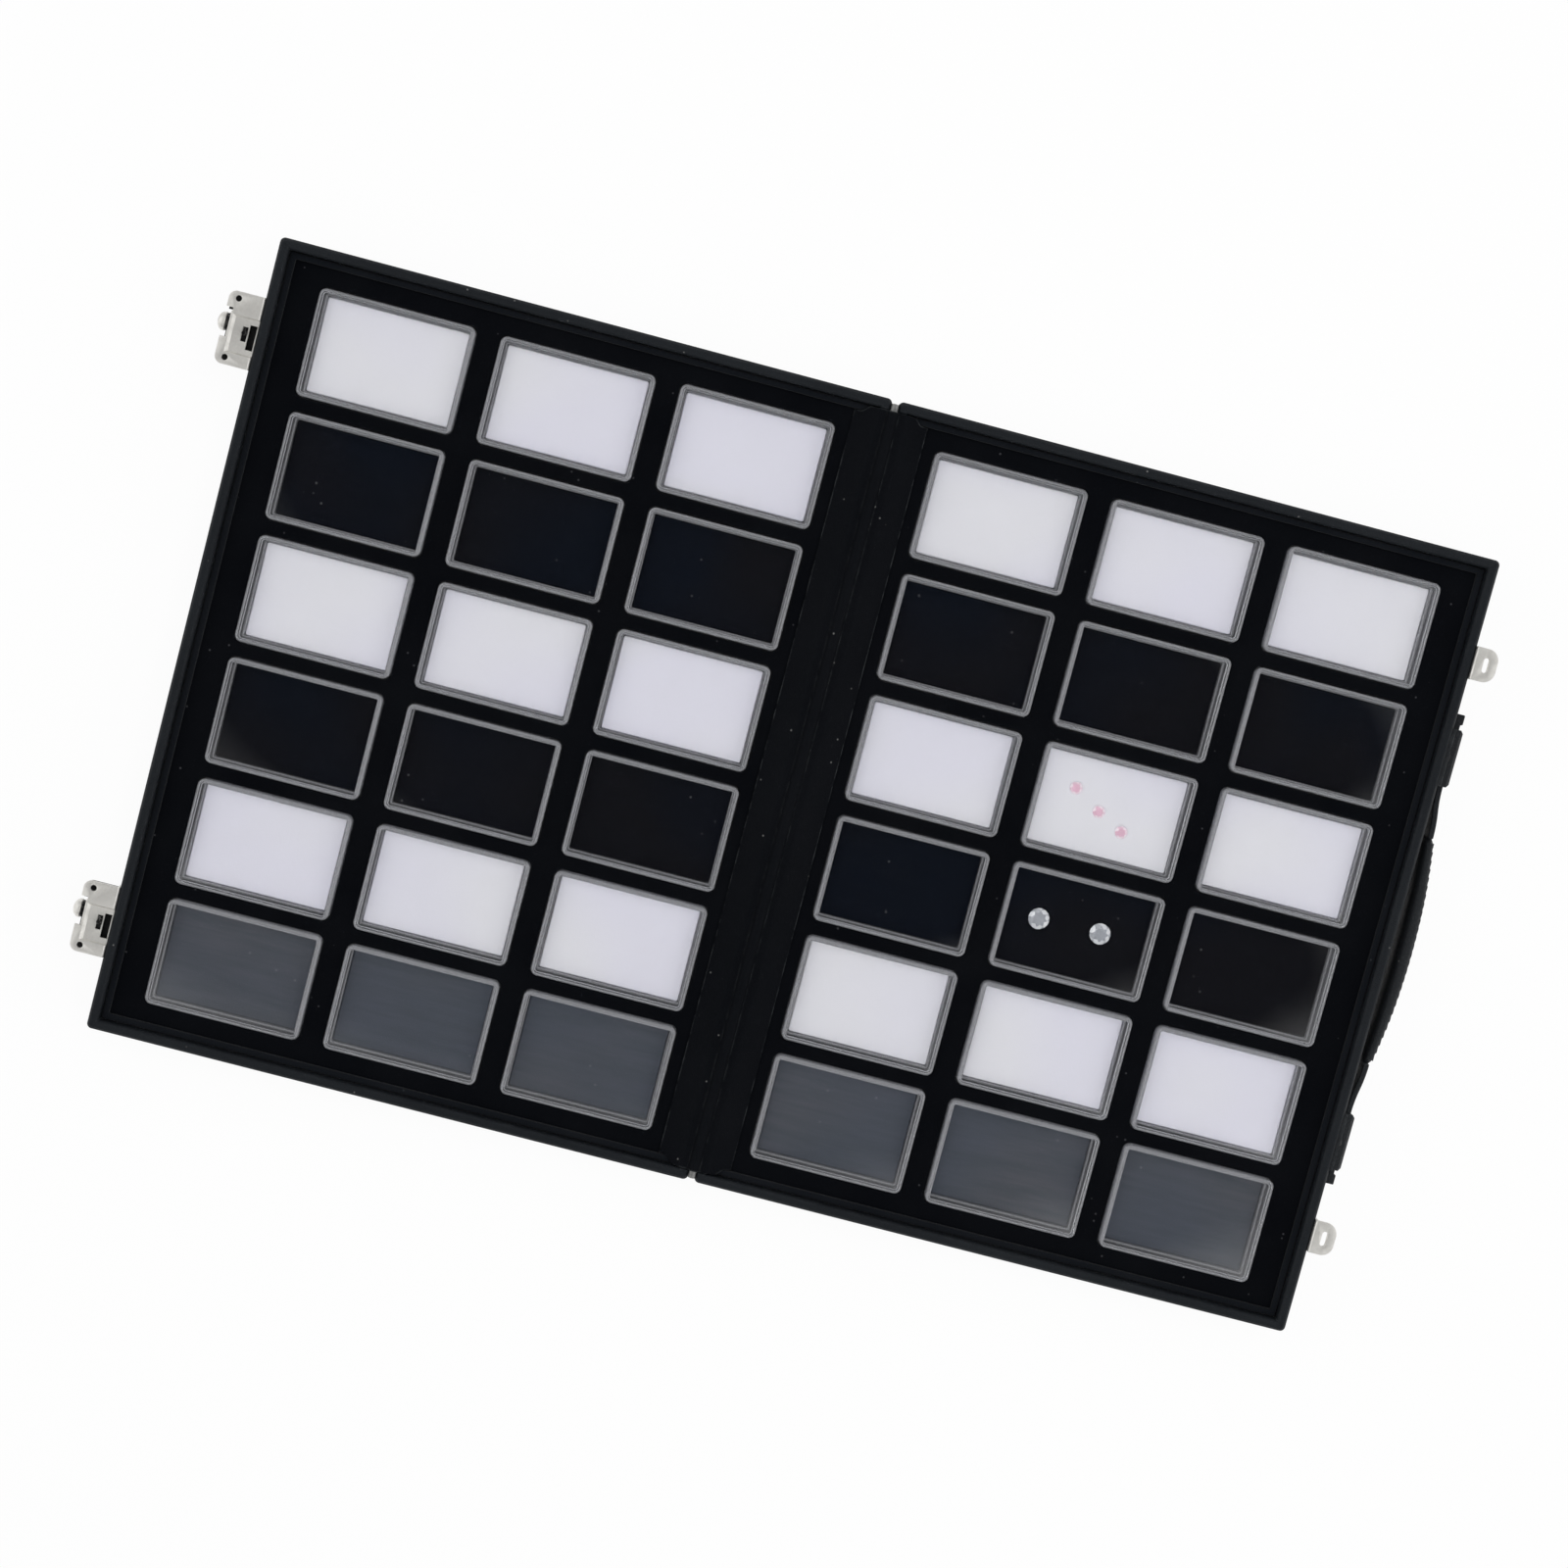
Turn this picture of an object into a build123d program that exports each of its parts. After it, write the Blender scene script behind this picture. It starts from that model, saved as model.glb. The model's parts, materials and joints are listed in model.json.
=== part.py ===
from build123d import *
import math
import os

# A folding case for loose stones, lying open flat with its clear boxes in place.
# Millimetres, +Z up. The origin is the middle of the base's underside, and the handle is at +X.
# The lid lies beyond the hinge, towards -X, and is the base turned half round about +Z.

# Clear boxes
box_length = 60.6
box_width = 41.8
box_height = 18.0
box_corner = 1.8
box_floor = 2.0
upstand_height = 9.5
upstand_wall = 0.9
cover_wall = 1.2
cover_top = 1.5
cover_slip = 0.3
pad_thickness = 7.0
pad_slip = 0.3

# How the boxes stand in the pockets of each half
columns = 3
rows = 6
rib_between_columns = 9.2
rib_between_rows = 5.6
border_at_sides = 11.55
border_at_ends = 7.3
pocket_slip = 0.35
pocket_depth = 15.0
insert_floor = 1.5
row_pads = ("white", "black", "white", "black", "white", "grey")

# Leathered walls, panels and linings
wall = 4.0
panel = 3.0
panel_slip = 0.2
lining = 2.4
lining_slip = 0.2
lining_below_rim = 4.0
boxes_below_rim = 3.5
corner_round = 2.0
rim_bevel = 1.0
inner_rim_bevel = 0.8
foot_bevel = 0.6

# Long hinge between the two halves
hinge_gap = 2.6
closed_rim_gap = 0.3
leaf_thickness = 0.6
leaf_height = 10.0
leaf_below_knuckles = 0.3
knuckle_radius = 1.4
knuckle_play = 0.3
pin_radius = 0.8
pin_slip = 0.05
hinge_past_walls = 2.5
knuckles = 5

# Soft strip that covers the hinge
strip_thickness = 0.6
strip_clear = 0.3
strip_seat = 1.0
strip_reach = 14.5

# Screws, rivets and nails. Their heads and shanks have flat sides, to keep their faces few,
# and the nails have the square shanks of brads.
head_sides = 8
head_taper = 30.0
shank_sides = 6
shank_slip = 0.1
shank_length = 3.8
screw_head_radius = 2.0
screw_head = 1.2
screw_shank_radius = 1.0
rivet_head_radius = 1.4
rivet_head = 0.8
rivet_shank_radius = 0.8
nail_head_radius = 1.3
nail_head = 0.3
nail_shank_radius = 0.5
nail_shank_sides = 4
nails_in_leaf = 4

# Latches on the lid
latch_from_end = 39.9
latch_sheet = 1.0
latch_below_rim = 0.1
latch_length = 28.0
latch_reach = 13.5
latch_round = 3.0
latch_offset = -2.0
latch_bend = 0.9
latch_leg = 12.0
ear_hole_spacing = 22.6
ear_hole_radius = 1.2
ear_hole_reach = 9.7
leg_hole_spacing = 17.6
leg_hole_drop = 8.2
tray_play = 0.5
tray_slope = 1.2
tray_past_tab = 0.1
notch_length = 9.5
notch_reach = 3.2
front_cut_length = 11.3
front_cut_reach = 10.9

# Sprung slide, hook and button of a latch
slide_play = 0.15
slide_thickness = 0.8
slide_width = 7.0
slide_travel = 2.2
slide_tab = 4.4
slide_tab_reach = 12.0
hook_radius = 0.8
hook_lip = 1.3
hook_lip_thickness = 0.7
hook_above_tab = 0.2
hook_offset = -1.3
hook_path_play = 0.25
button_offset = -3.9
button_radius = 3.65
button_depth = 3.3
button_rim = 0.8
button_sides = 16
button_shoulder_share = 0.76
button_shoulder_radius_share = 0.78
button_flat_share = 0.4
shank_radius = 1.1
button_stand = 0.9
button_rivet_radius = 1.4
button_rivet_height = 0.5
keep_thickness = 0.7
keep_width = 5.6
spring_thickness = 0.3
spring_height = 0.6
spring_bow = 0.8
spring_length = 4.2

# Catch tabs on the base
tab_sheet = 1.2
tab_above_rim = 1.0
tab_width = 13.0
tab_reach = 9.2
tab_round = 4.6
tab_bend = 0.9
tab_leg = 12.5
tab_slot_length = 5.8
tab_slot_width = 2.0
tab_slot_reach = 4.7
tab_hole_spacing = 4.8
tab_hole_drop = 4.4

# Strap handle on the base
strap_width = 14.0
strap_thickness = 2.2
strap_slip = 0.3
strap_off_wall = 1.3
stop_thickness = 4.0
stop_length = 4.0
stop_past_keeper = 2.0
strap_lead = 20.7
grip_height = 18.0
grip_end_height = 15.2
grip_flat_share = 0.5
grip_end_near = 2.0
grip_end_far = 6.4
grip_middle_near = 3.4
grip_middle_far = 10.2
grip_bevel = 1.8
grip_bevel_angle = 40.0
keeper_from_catch = 37.8
keeper_length = 22.8
keeper_flange = 1.2
rivet_edge = 0.25
keeper_wall = 1.4
keeper_bevel = 1.2

# Loose stones in two of the boxes
pink_gem_radius = 2.4
clear_gem_radius = 4.2
gem_facets = 8
gem_table_share = 0.56
gem_crown_share = 0.32
gem_point_share = 0.86
gem_over_share = 1.05
gem_culet_share = 0.04
gem_seat_slip = 0.1
pink_gem_shares = ((-0.257, 0.152), (-0.058, -0.037), (0.132, -0.189))
clear_gem_shares = ((-0.27, 0.019), (0.178, 0.023))
gem_column = 1
pink_row = 2
clear_row = 3

overrun = 5.0

# Worked out from the sizes above
pocket_length = box_length + 2 * pocket_slip
pocket_width = box_width + 2 * pocket_slip
column_pitch = pocket_length + rib_between_columns
row_pitch = pocket_width + rib_between_rows
insert_width = columns * pocket_length + (columns - 1) * rib_between_columns + 2 * border_at_sides
insert_length = rows * pocket_width + (rows - 1) * rib_between_rows + 2 * border_at_ends
inner_width = insert_width + 2 * (lining + lining_slip)
inner_length = insert_length + 2 * (lining + lining_slip)
half_width = inner_width + 2 * wall
half_length = inner_length + 2 * wall
pocket_bottom = panel + insert_floor
insert_top = pocket_bottom + pocket_depth
rim = pocket_bottom + box_height + boxes_below_rim
lining_top = rim - lining_below_rim

free_wall = half_width / 2
spine_face = -half_width / 2
hinge_x = spine_face - hinge_gap / 2
hinge_z = rim + closed_rim_gap / 2
hinge_length = inner_length + 2 * hinge_past_walls
spine_top = rim - strip_seat

cover_inner_length = box_length - 2 * cover_wall
cover_inner_width = box_width - 2 * cover_wall
upstand_length = cover_inner_length - 2 * cover_slip
upstand_width = cover_inner_width - 2 * cover_slip
pad_length = upstand_length - 2 * (upstand_wall + pad_slip)
pad_width = upstand_width - 2 * (upstand_wall + pad_slip)

latch_y = half_length / 2 - latch_from_end


def block(x, y, z):
    """A solid between two values along each axis."""
    centre = [(low + high) / 2 for low, high in (x, y, z)]
    return Pos(*centre) * Box(*(high - low for low, high in (x, y, z)))


def centred(length, width, z):
    return block((-length / 2, length / 2), (-width / 2, width / 2), z)


def rounded(length, width, radius, z):
    return extrude(Plane.XY.offset(z[0]) * RectangleRounded(length, width, radius), z[1] - z[0])


def cornered(length, width, cut, z):
    """As centred, with a flat cut at each upright corner."""
    plan = Rectangle(length, width)
    return extrude(Plane.XY.offset(z[0]) * chamfer(plan.vertices(), cut), z[1] - z[0])


def rod_y(radius, x, y, z):
    """A round bar along Y."""
    return Pos(x, (y[0] + y[1]) / 2, z) * Rot(90, 0, 0) * Cylinder(radius, y[1] - y[0])


def rod_z(radius, x, y, z):
    """A round bar along Z."""
    return Pos(x, y, (z[0] + z[1]) / 2) * Cylinder(radius, z[1] - z[0])


def on_lid(shape):
    """Turns a piece of the base half round about the hinge line, to its place on the open lid."""
    return Pos(2 * hinge_x, 0, 0) * Rot(0, 0, 180) * shape


def pocket_place(column, row):
    """Where a pocket's middle is. Row 0 is the furthest towards +Y."""
    across = (column - (columns - 1) / 2) * column_pitch
    along = ((rows - 1) / 2 - row) * row_pitch
    return Pos(across, along, pocket_bottom)


def save(name, shapes):
    """Writes one node. Several shapes make one node of separate solids."""
    group = list(shapes) if isinstance(shapes, (list, tuple)) else [shapes]
    solids = [solid for shape in group for solid in shape.solids()]
    whole = solids[0] if len(solids) == 1 else Compound(children=solids)
    export_step(whole, os.path.join("parts", name + ".step"))


# Clear boxes and what lies in them


def box_bottom():
    upstand = centred(upstand_length, upstand_width, (box_floor, box_floor + upstand_height))
    hollow = centred(
        upstand_length - 2 * upstand_wall,
        upstand_width - 2 * upstand_wall,
        (box_floor, box_floor + upstand_height + overrun),
    )
    return cornered(box_length, box_width, box_corner, (0, box_floor)) + (upstand - hollow)


def box_cover():
    shell = cornered(box_length, box_width, box_corner, (box_floor, box_height))
    return shell - centred(cover_inner_length, cover_inner_width, (0, box_height - cover_top))


def pad():
    return centred(pad_length, pad_width, (box_floor, box_floor + pad_thickness))


def tapered(radius, end_radius, sides, height):
    """A block with flat sides that narrows from z = 0 upwards, or downwards for a negative height."""
    across_flats = math.cos(math.pi / sides)
    taper = math.degrees(math.atan2((radius - end_radius) * across_flats, abs(height)))
    upward = extrude(RegularPolygon(radius, sides), abs(height), taper=taper)
    return upward if height > 0 else mirror(upward, Plane.XY)


def gem(radius):
    """A round stone, table up, with its girdle at z = 0 and its main facets above and below."""
    over = radius * gem_over_share
    crown = radius * gem_crown_share
    point = radius * gem_point_share
    upper = tapered(over, radius * gem_table_share, gem_facets, crown)
    lower = tapered(over, radius * gem_culet_share, gem_facets, -point)
    girdle = Plane.XY.offset(-point) * RegularPolygon(radius, 2 * gem_facets)
    return (upper + lower) & extrude(girdle, point + crown)


def gem_seat(radius):
    """The hollow that a stone presses into its pad."""
    point = radius * gem_point_share + gem_seat_slip
    mouth = radius * gem_over_share + gem_seat_slip
    return tapered(mouth, gem_seat_slip, gem_facets, -point)


def gem_places(shares):
    top = box_floor + pad_thickness
    return [Pos(across * pad_length, along * pad_width, top) for across, along in shares]


# Shells of one half


def wall_frame():
    """Four leathered walls in one frame. The wall at the hinge is lower, to seat the soft strip."""
    outside = rounded(half_width, half_length, corner_round, (0, rim))
    outside = chamfer(outside.faces().sort_by(Axis.Z)[-1].edges(), rim_bevel)
    outside = chamfer(outside.faces().sort_by(Axis.Z)[0].edges(), foot_bevel)
    frame = outside - centred(inner_width, inner_length, (-overrun, rim + overrun))
    top_edges = frame.edges().filter_by_position(Axis.Z, rim, rim)
    inner_edges = [
        edge
        for edge in top_edges
        if abs(edge.center().X) <= inner_width / 2 and abs(edge.center().Y) <= inner_length / 2
        and (edge.length > inner_width / 2)
    ]
    frame = chamfer(inner_edges, inner_rim_bevel)
    seat = block(
        (spine_face - overrun, spine_face + wall + inner_rim_bevel),
        (-inner_length / 2, inner_length / 2),
        (spine_top, rim + overrun),
    )
    return frame - seat


def bottom_panel():
    return centred(inner_width - 2 * panel_slip, inner_length - 2 * panel_slip, (0, panel))


def lining_ring():
    """Flocked boards round the inside of the walls, standing on the panel."""
    width, length = inner_width - 2 * lining_slip, inner_length - 2 * lining_slip
    ring = centred(width, length, (panel, lining_top))
    return ring - centred(width - 2 * lining, length - 2 * lining, (panel - overrun, rim))


def pocket_insert():
    """One flocked insert with a pocket for each box, a pocket's corners cut as a box's are."""
    insert = centred(insert_width, insert_length, (panel, insert_top))
    pocket = cornered(pocket_length, pocket_width, box_corner, (0, pocket_depth + overrun))
    places = [pocket_place(column, row) for column in range(columns) for row in range(rows)]
    return insert - [place * pocket for place in places]


# Fasteners, drawn along X with the underside of the head at x = 0


def flat_sided(radius, sides, x, y, z):
    """A straight bar with flat sides, along X."""
    return extrude(Plane.YZ.offset(x[0]) * Pos(y, z) * RegularPolygon(radius, sides), x[1] - x[0])


def fastener(head_radius, head, shank_radius, sides=shank_sides):
    end_radius = head_radius - head * math.tan(math.radians(head_taper))
    cap = Plane.YZ * tapered(head_radius, end_radius, head_sides, head)
    return cap + flat_sided(shank_radius, sides, (-shank_length, 0), 0, 0)


def fastener_hole(shank_radius, sides=shank_sides):
    """The hole for a shank, long enough to run out through the sheet that the head bears on."""
    return flat_sided(shank_radius + shank_slip, sides, (-shank_length - shank_slip, overrun), 0, 0)


def at_places(shape, x, places):
    return [Pos(x, y, z) * shape for y, z in places]


# Hinge


def hinge_leaf(first):
    """A leaf against the base's spine wall, with every second knuckle from the first one given."""
    leaf_x = (spine_face - leaf_thickness, spine_face)
    leaf_top = hinge_z - knuckle_radius - leaf_below_knuckles
    ends = (-hinge_length / 2, hinge_length / 2)
    leaf = block(leaf_x, ends, (leaf_top - leaf_height, leaf_top))
    for number in range(first, knuckles, 2):
        low = -hinge_length / 2 + number * hinge_length / knuckles + knuckle_play / 2
        span = (low, low + hinge_length / knuckles - knuckle_play)
        leaf += block(leaf_x, span, (leaf_top, hinge_z))
        leaf += rod_y(knuckle_radius, hinge_x, span, hinge_z)
    bore = rod_y(pin_radius + pin_slip, hinge_x, (ends[0] - overrun, ends[1] + overrun), hinge_z)
    return leaf - bore


def nail_places():
    drop = hinge_z - knuckle_radius - leaf_below_knuckles - leaf_height / 2
    step = hinge_length / nails_in_leaf
    return [(step * (n + 1 / 2) - hinge_length / 2, drop) for n in range(nails_in_leaf)]


def at_leaf(shape):
    """Nails go through a leaf into the spine wall, with their heads towards -X."""
    face = spine_face - leaf_thickness
    return [mirror(nail, Plane.YZ) for nail in at_places(shape, -face, nail_places())]


def spine_strip():
    """A soft strip from one insert to the other, over both spine walls and the knuckles."""
    inner = knuckle_radius + strip_clear
    outer = inner + strip_thickness
    low = spine_top + strip_clear - hinge_z
    high = low + strip_thickness
    knee = hinge_gap / 2 + wall + strip_clear
    end_low = insert_top + strip_clear - hinge_z
    flap = make_face(
        Polyline(
            (inner, 0), (outer, 0), (outer, high), (knee, high),
            (strip_reach, end_low + strip_thickness), (strip_reach, end_low),
            (knee, low), (inner, low), close=True,
        )
    )
    bow = Circle(outer) - Circle(inner) - Pos(0, -outer) * Rectangle(2 * outer, 2 * outer)
    outline = bow + flap + mirror(flap, Plane.YZ)
    length = insert_length - 2 * strip_clear
    side_on = Plane((hinge_x, length / 2, hinge_z), x_dir=(1, 0, 0), z_dir=(0, -1, 0))
    return extrude(side_on * outline, length)


# Latches and catches, drawn about the middle of a catch's slot:
# x runs out from the wall's face, y along the wall, and z = 0 is the rim.


def at_latch(side):
    """side is 1 for the latch or catch towards +Y and -1 for the other."""
    return Pos(free_wall, side * latch_y, rim)


def on_lid_at_latch(side, shape):
    return on_lid(at_latch(-side) * shape)


plate_top = -latch_below_rim
plate_under = plate_top - latch_sheet
tab_low = tab_above_rim - tab_sheet
tray_floor = closed_rim_gap - tab_above_rim - tray_play
tray_under = tray_floor - latch_sheet
tray_half = tab_width / 2 + tray_play / 2
slide_top = tray_under - slide_play
slide_under = slide_top - slide_thickness
keep_top = slide_under - slide_play
button_z = slide_under - slide_play - button_rivet_radius
slide_ends = (button_offset - slide_width / 2, hook_offset + slide_width / 2)
tab_top_closed = closed_rim_gap - tab_low
slide_inner = tab_slot_reach - hook_radius


def latch_plate():
    """A pressed angle: one leg on the wall, one level with the rim, with a tray for the tab."""
    flat = Pos(latch_reach / 2, latch_offset) * Rectangle(latch_reach, latch_length)
    outer = flat.vertices().group_by(Axis.X)[-1]
    flat = fillet(outer, latch_round)
    flat -= Pos(latch_reach, button_offset) * Rectangle(
        2 * (latch_reach - front_cut_reach), front_cut_length
    )
    plate = extrude(Plane.XY.offset(plate_under) * flat, latch_sheet)
    ends = (latch_offset - latch_length / 2, latch_offset + latch_length / 2)
    plate += block((0, latch_sheet), ends, (-latch_leg, plate_top))
    plate = fillet(
        plate.edges().filter_by(Axis.Y).filter_by_position(Axis.X, 0, 0).sort_by(Axis.Z)[-1],
        latch_bend,
    )
    reach = tab_reach + tray_past_tab
    plate += tray(reach + latch_sheet, tray_half + latch_sheet, tray_under, plate_under, 0)
    plate -= tray(reach, tray_half, tray_floor, plate_top, -overrun)
    notch_y = (-notch_length / 2, notch_length / 2)
    plate -= block((-overrun, notch_reach), notch_y, (-leg_hole_drop / 2, 0))
    hook_span = (
        hook_offset - hook_radius - hook_lip - hook_path_play,
        hook_offset + hook_radius + slide_travel + hook_path_play,
    )
    plate -= block(
        (tab_slot_reach - hook_radius - hook_path_play, tab_slot_reach + hook_radius + hook_path_play),
        hook_span,
        (tray_under - overrun, 0),
    )
    for way in (-1, 1):
        y = latch_offset + way * ear_hole_spacing / 2
        plate -= rod_z(ear_hole_radius, ear_hole_reach, y, (plate_under - overrun, overrun))
    return plate - at_places(fastener_hole(screw_shank_radius), latch_sheet, latch_screw_places())


def tray(reach, half, low, high, start):
    """A shallow tray with sloping sides, from the wall out to its reach at the floor."""
    rise = tray_slope / 2
    side = Polyline((start, low), (reach, low), (reach + tray_slope, high), (start, high), close=True)
    front = Polyline((-half, low), (half, low), (half + rise, high), (-half - rise, high), close=True)
    across = extrude(Plane.XZ * make_face(side), half + rise, both=True)
    return across & extrude(Plane.YZ.offset(start) * make_face(front), reach + tray_slope - start)


def latch_slide():
    """The sprung bar under the tray, with the hook that enters the catch's slot."""
    bar = block((slide_inner, slide_tab_reach), slide_ends, (slide_under, slide_top))
    tab_y = (button_offset - slide_width / 2, button_offset + slide_width / 2)
    bar += block(
        (slide_tab_reach - slide_thickness, slide_tab_reach), tab_y, (slide_top - slide_tab, slide_top)
    )
    shank_hole = (slide_tab_reach - overrun, slide_tab_reach + overrun)
    bar -= flat_sided(shank_radius + pin_slip, shank_sides, shank_hole, button_offset, button_z)
    lip = (tab_top_closed + hook_above_tab, tab_top_closed + hook_above_tab + hook_lip_thickness)
    hook = rod_z(hook_radius, tab_slot_reach, hook_offset, (slide_top, lip[1]))
    hook += block(
        (tab_slot_reach - hook_radius / 2, tab_slot_reach + hook_radius / 2),
        (hook_offset - hook_radius - hook_lip, hook_offset),
        lip,
    )
    return bar + hook


def latch_button():
    """A domed button on a shank, riveted through the slide's turned-down tab."""
    inner = slide_tab_reach - slide_thickness
    back = slide_tab_reach + button_stand
    shoulder = button_rim + button_shoulder_share * (button_depth - button_rim)
    shoulder_radius = button_shoulder_radius_share * button_radius
    flat_radius = button_flat_share * button_radius
    dome = extrude(RegularPolygon(button_radius, button_sides), button_rim)
    dome += Pos(0, 0, button_rim) * tapered(
        button_radius, shoulder_radius, button_sides, shoulder - button_rim
    )
    dome += Pos(0, 0, shoulder) * tapered(
        shoulder_radius, flat_radius, button_sides, button_depth - shoulder
    )
    button = Pos(back, button_offset, button_z) * (Plane.YZ * dome)
    button += flat_sided(shank_radius, shank_sides, (inner, back), button_offset, button_z)
    rivet = (inner - button_rivet_height, inner)
    return button + flat_sided(button_rivet_radius, head_sides, rivet, button_offset, button_z)


def latch_keep():
    """A strip welded under the plate, which carries the slide and the foot of its spring."""
    low = keep_top - keep_thickness
    past_tray = tray_half + latch_sheet + tray_slope
    spring_ear = slide_ends[1] + spring_length
    x = (slide_inner, slide_inner + keep_width)
    strip = block(x, (-past_tray - latch_sheet, spring_ear + latch_sheet), (low, keep_top))
    strip += block(x, (-past_tray - latch_sheet, -past_tray), (low, plate_under))
    return strip + block(x, (spring_ear, spring_ear + latch_sheet), (low, tray_under))


def latch_spring():
    """A leaf spring bent twice, between the slide and the ear of its keep."""
    middle_x = slide_inner + keep_width / 2
    near = slide_ends[1] + spring_thickness
    far = slide_ends[1] + spring_length - spring_thickness
    third = (far - near) / 3
    line = Polyline(
        (middle_x - spring_bow, near),
        (middle_x + spring_bow, near + third),
        (middle_x - spring_bow, far - third),
        (middle_x + spring_bow, far),
    )
    return extrude(Plane.XY.offset(slide_under) * trace(line, spring_thickness), spring_height)


def catch_tab():
    """A slotted tab turned out from a plate that is screwed to the base's wall."""
    flat = Pos(tab_reach / 2, 0) * Rectangle(tab_reach, tab_width)
    flat = fillet(flat.vertices().group_by(Axis.X)[-1], tab_round)
    tab = extrude(Plane.XY.offset(tab_low) * flat, tab_sheet)
    tab += block((0, tab_sheet), (-tab_width / 2, tab_width / 2), (-tab_leg, tab_above_rim))
    tab = fillet(
        tab.edges().filter_by(Axis.Y).filter_by_position(Axis.X, 0, 0).sort_by(Axis.Z)[-1], tab_bend
    )
    slot = Pos(tab_slot_reach, 0) * Rot(0, 0, 90) * SlotOverall(tab_slot_length, tab_slot_width)
    tab -= extrude(Plane.XY.offset(tab_low - overrun) * slot, tab_sheet + 2 * overrun)
    return tab - at_places(fastener_hole(screw_shank_radius), tab_sheet, tab_screw_places())


def tab_screw_places():
    low = -(tab_hole_drop + tab_hole_spacing)
    return [(0, -tab_hole_drop), (0, low)]


def latch_screw_places():
    return [(latch_offset + way * leg_hole_spacing / 2, -leg_hole_drop) for way in (-1, 1)]


# Handle, drawn about the wall's face at half its height: x out from the wall, y along it.

handle_z = rim / 2
strap_near = strap_off_wall
strap_far = strap_off_wall + strap_thickness
keeper_depth = strap_far + strap_slip + keeper_wall
keeper_middle = latch_y - keeper_from_catch
keeper_near = keeper_middle - keeper_length / 2
keeper_far = keeper_middle + keeper_length / 2
grip_length = 2 * (keeper_near - strap_lead)
bridge_height = strap_width + 2 * (strap_slip + keeper_wall)
keeper_lip = 2 * (rivet_head_radius + rivet_edge)
keeper_height = bridge_height + 2 * keeper_lip


def at_handle(shape):
    return Pos(free_wall, 0, handle_z) * shape


def handle_grip():
    """The padded middle, bowed away from the wall and lower towards its ends."""
    half = grip_length / 2
    flat = half * grip_flat_share
    tall, low = grip_height / 2, grip_end_height / 2
    plan = make_face(
        [
            ThreePointArc((grip_end_far, -half), (grip_middle_far, 0), (grip_end_far, half)),
            Line((grip_end_far, half), (grip_end_near, half)),
            ThreePointArc((grip_end_near, half), (grip_middle_near, 0), (grip_end_near, -half)),
            Line((grip_end_near, -half), (grip_end_far, -half)),
        ]
    )
    side = Polyline(
        (-half, low), (-flat, tall), (flat, tall), (half, low),
        (half, -low), (flat, -tall), (-flat, -tall), (-half, -low), close=True,
    )
    shoulder = tall - grip_bevel
    cap = extrude(Plane.XY.offset(shoulder) * plan, grip_bevel, taper=grip_bevel_angle)
    body = extrude(plan, shoulder, both=True) + cap + mirror(cap, Plane.XY)
    return body & extrude(Plane.YZ * make_face(side), grip_middle_far + overrun)


def strap_end(way):
    """The strap from the grip, through its keeper, to the stop that holds it there."""
    grip_middle = (grip_end_near + grip_end_far) / 2
    strap_middle = (strap_near + strap_far) / 2
    start = (grip_middle, grip_length / 2)
    end = (strap_middle, keeper_near)
    between = ((start[0] + end[0]) / 2, (start[1] + end[1]) / 2)
    leave = TangentArc(start, between, tangent=(0, 1))
    arrive = TangentArc(between, end, tangent=leave % 1)
    run = Line((strap_middle, keeper_near), (strap_middle, keeper_far + stop_past_keeper + stop_length))
    flat = trace(leave + arrive + run, strap_thickness)
    stop_x = (strap_middle - stop_thickness / 2, strap_middle + stop_thickness / 2)
    stop_y = (keeper_far + stop_past_keeper, keeper_far + stop_past_keeper + stop_length)
    height = (-strap_width / 2, strap_width / 2)
    strap = extrude(Plane.XY.offset(height[0]) * flat, strap_width)
    strap += block(stop_x, stop_y, height)
    return strap if way > 0 else mirror(strap, Plane.XZ)


def strap_keeper(way):
    """A pressed bridge over the strap, with a flange above and below for its rivets."""
    y = (keeper_near, keeper_far)
    keeper = block((0, keeper_flange), y, (-keeper_height / 2, keeper_height / 2))
    bridge = block((0, keeper_depth), y, (-bridge_height / 2, bridge_height / 2))
    bridge = chamfer(bridge.faces().sort_by(Axis.X)[-1].edges(), keeper_bevel)
    keeper += bridge
    keeper -= block(
        (strap_near - strap_slip, strap_far + strap_slip),
        (y[0] - overrun, y[1] + overrun),
        (-strap_width / 2 - strap_slip, strap_width / 2 + strap_slip),
    )
    keeper -= at_places(fastener_hole(rivet_shank_radius), keeper_flange, rivet_places())
    return keeper if way > 0 else mirror(keeper, Plane.XZ)


def rivet_places():
    """One in the lip above and one in the lip below the bridge of a keeper."""
    drop = (bridge_height + keeper_lip) / 2
    return [(keeper_middle, way * drop) for way in (-1, 1)]


def at_keepers(shape):
    near = at_places(shape, keeper_flange, rivet_places())
    return [at_handle(side) for rivet in near for side in (rivet, mirror(rivet, Plane.XZ))]


# The pieces, in their places

os.makedirs("parts", exist_ok=True)

frame = wall_frame()
leaf_holes = at_leaf(fastener_hole(nail_shank_radius, nail_shank_sides))
screw_hole = fastener_hole(screw_shank_radius)
latch_holes = [
    at_latch(side) * hole
    for side in (-1, 1)
    for hole in at_places(screw_hole, latch_sheet, latch_screw_places())
]
catch_holes = [
    at_latch(side) * hole
    for side in (-1, 1)
    for hole in at_places(screw_hole, tab_sheet, tab_screw_places())
]
rivet_holes = at_keepers(fastener_hole(rivet_shank_radius))

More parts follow.
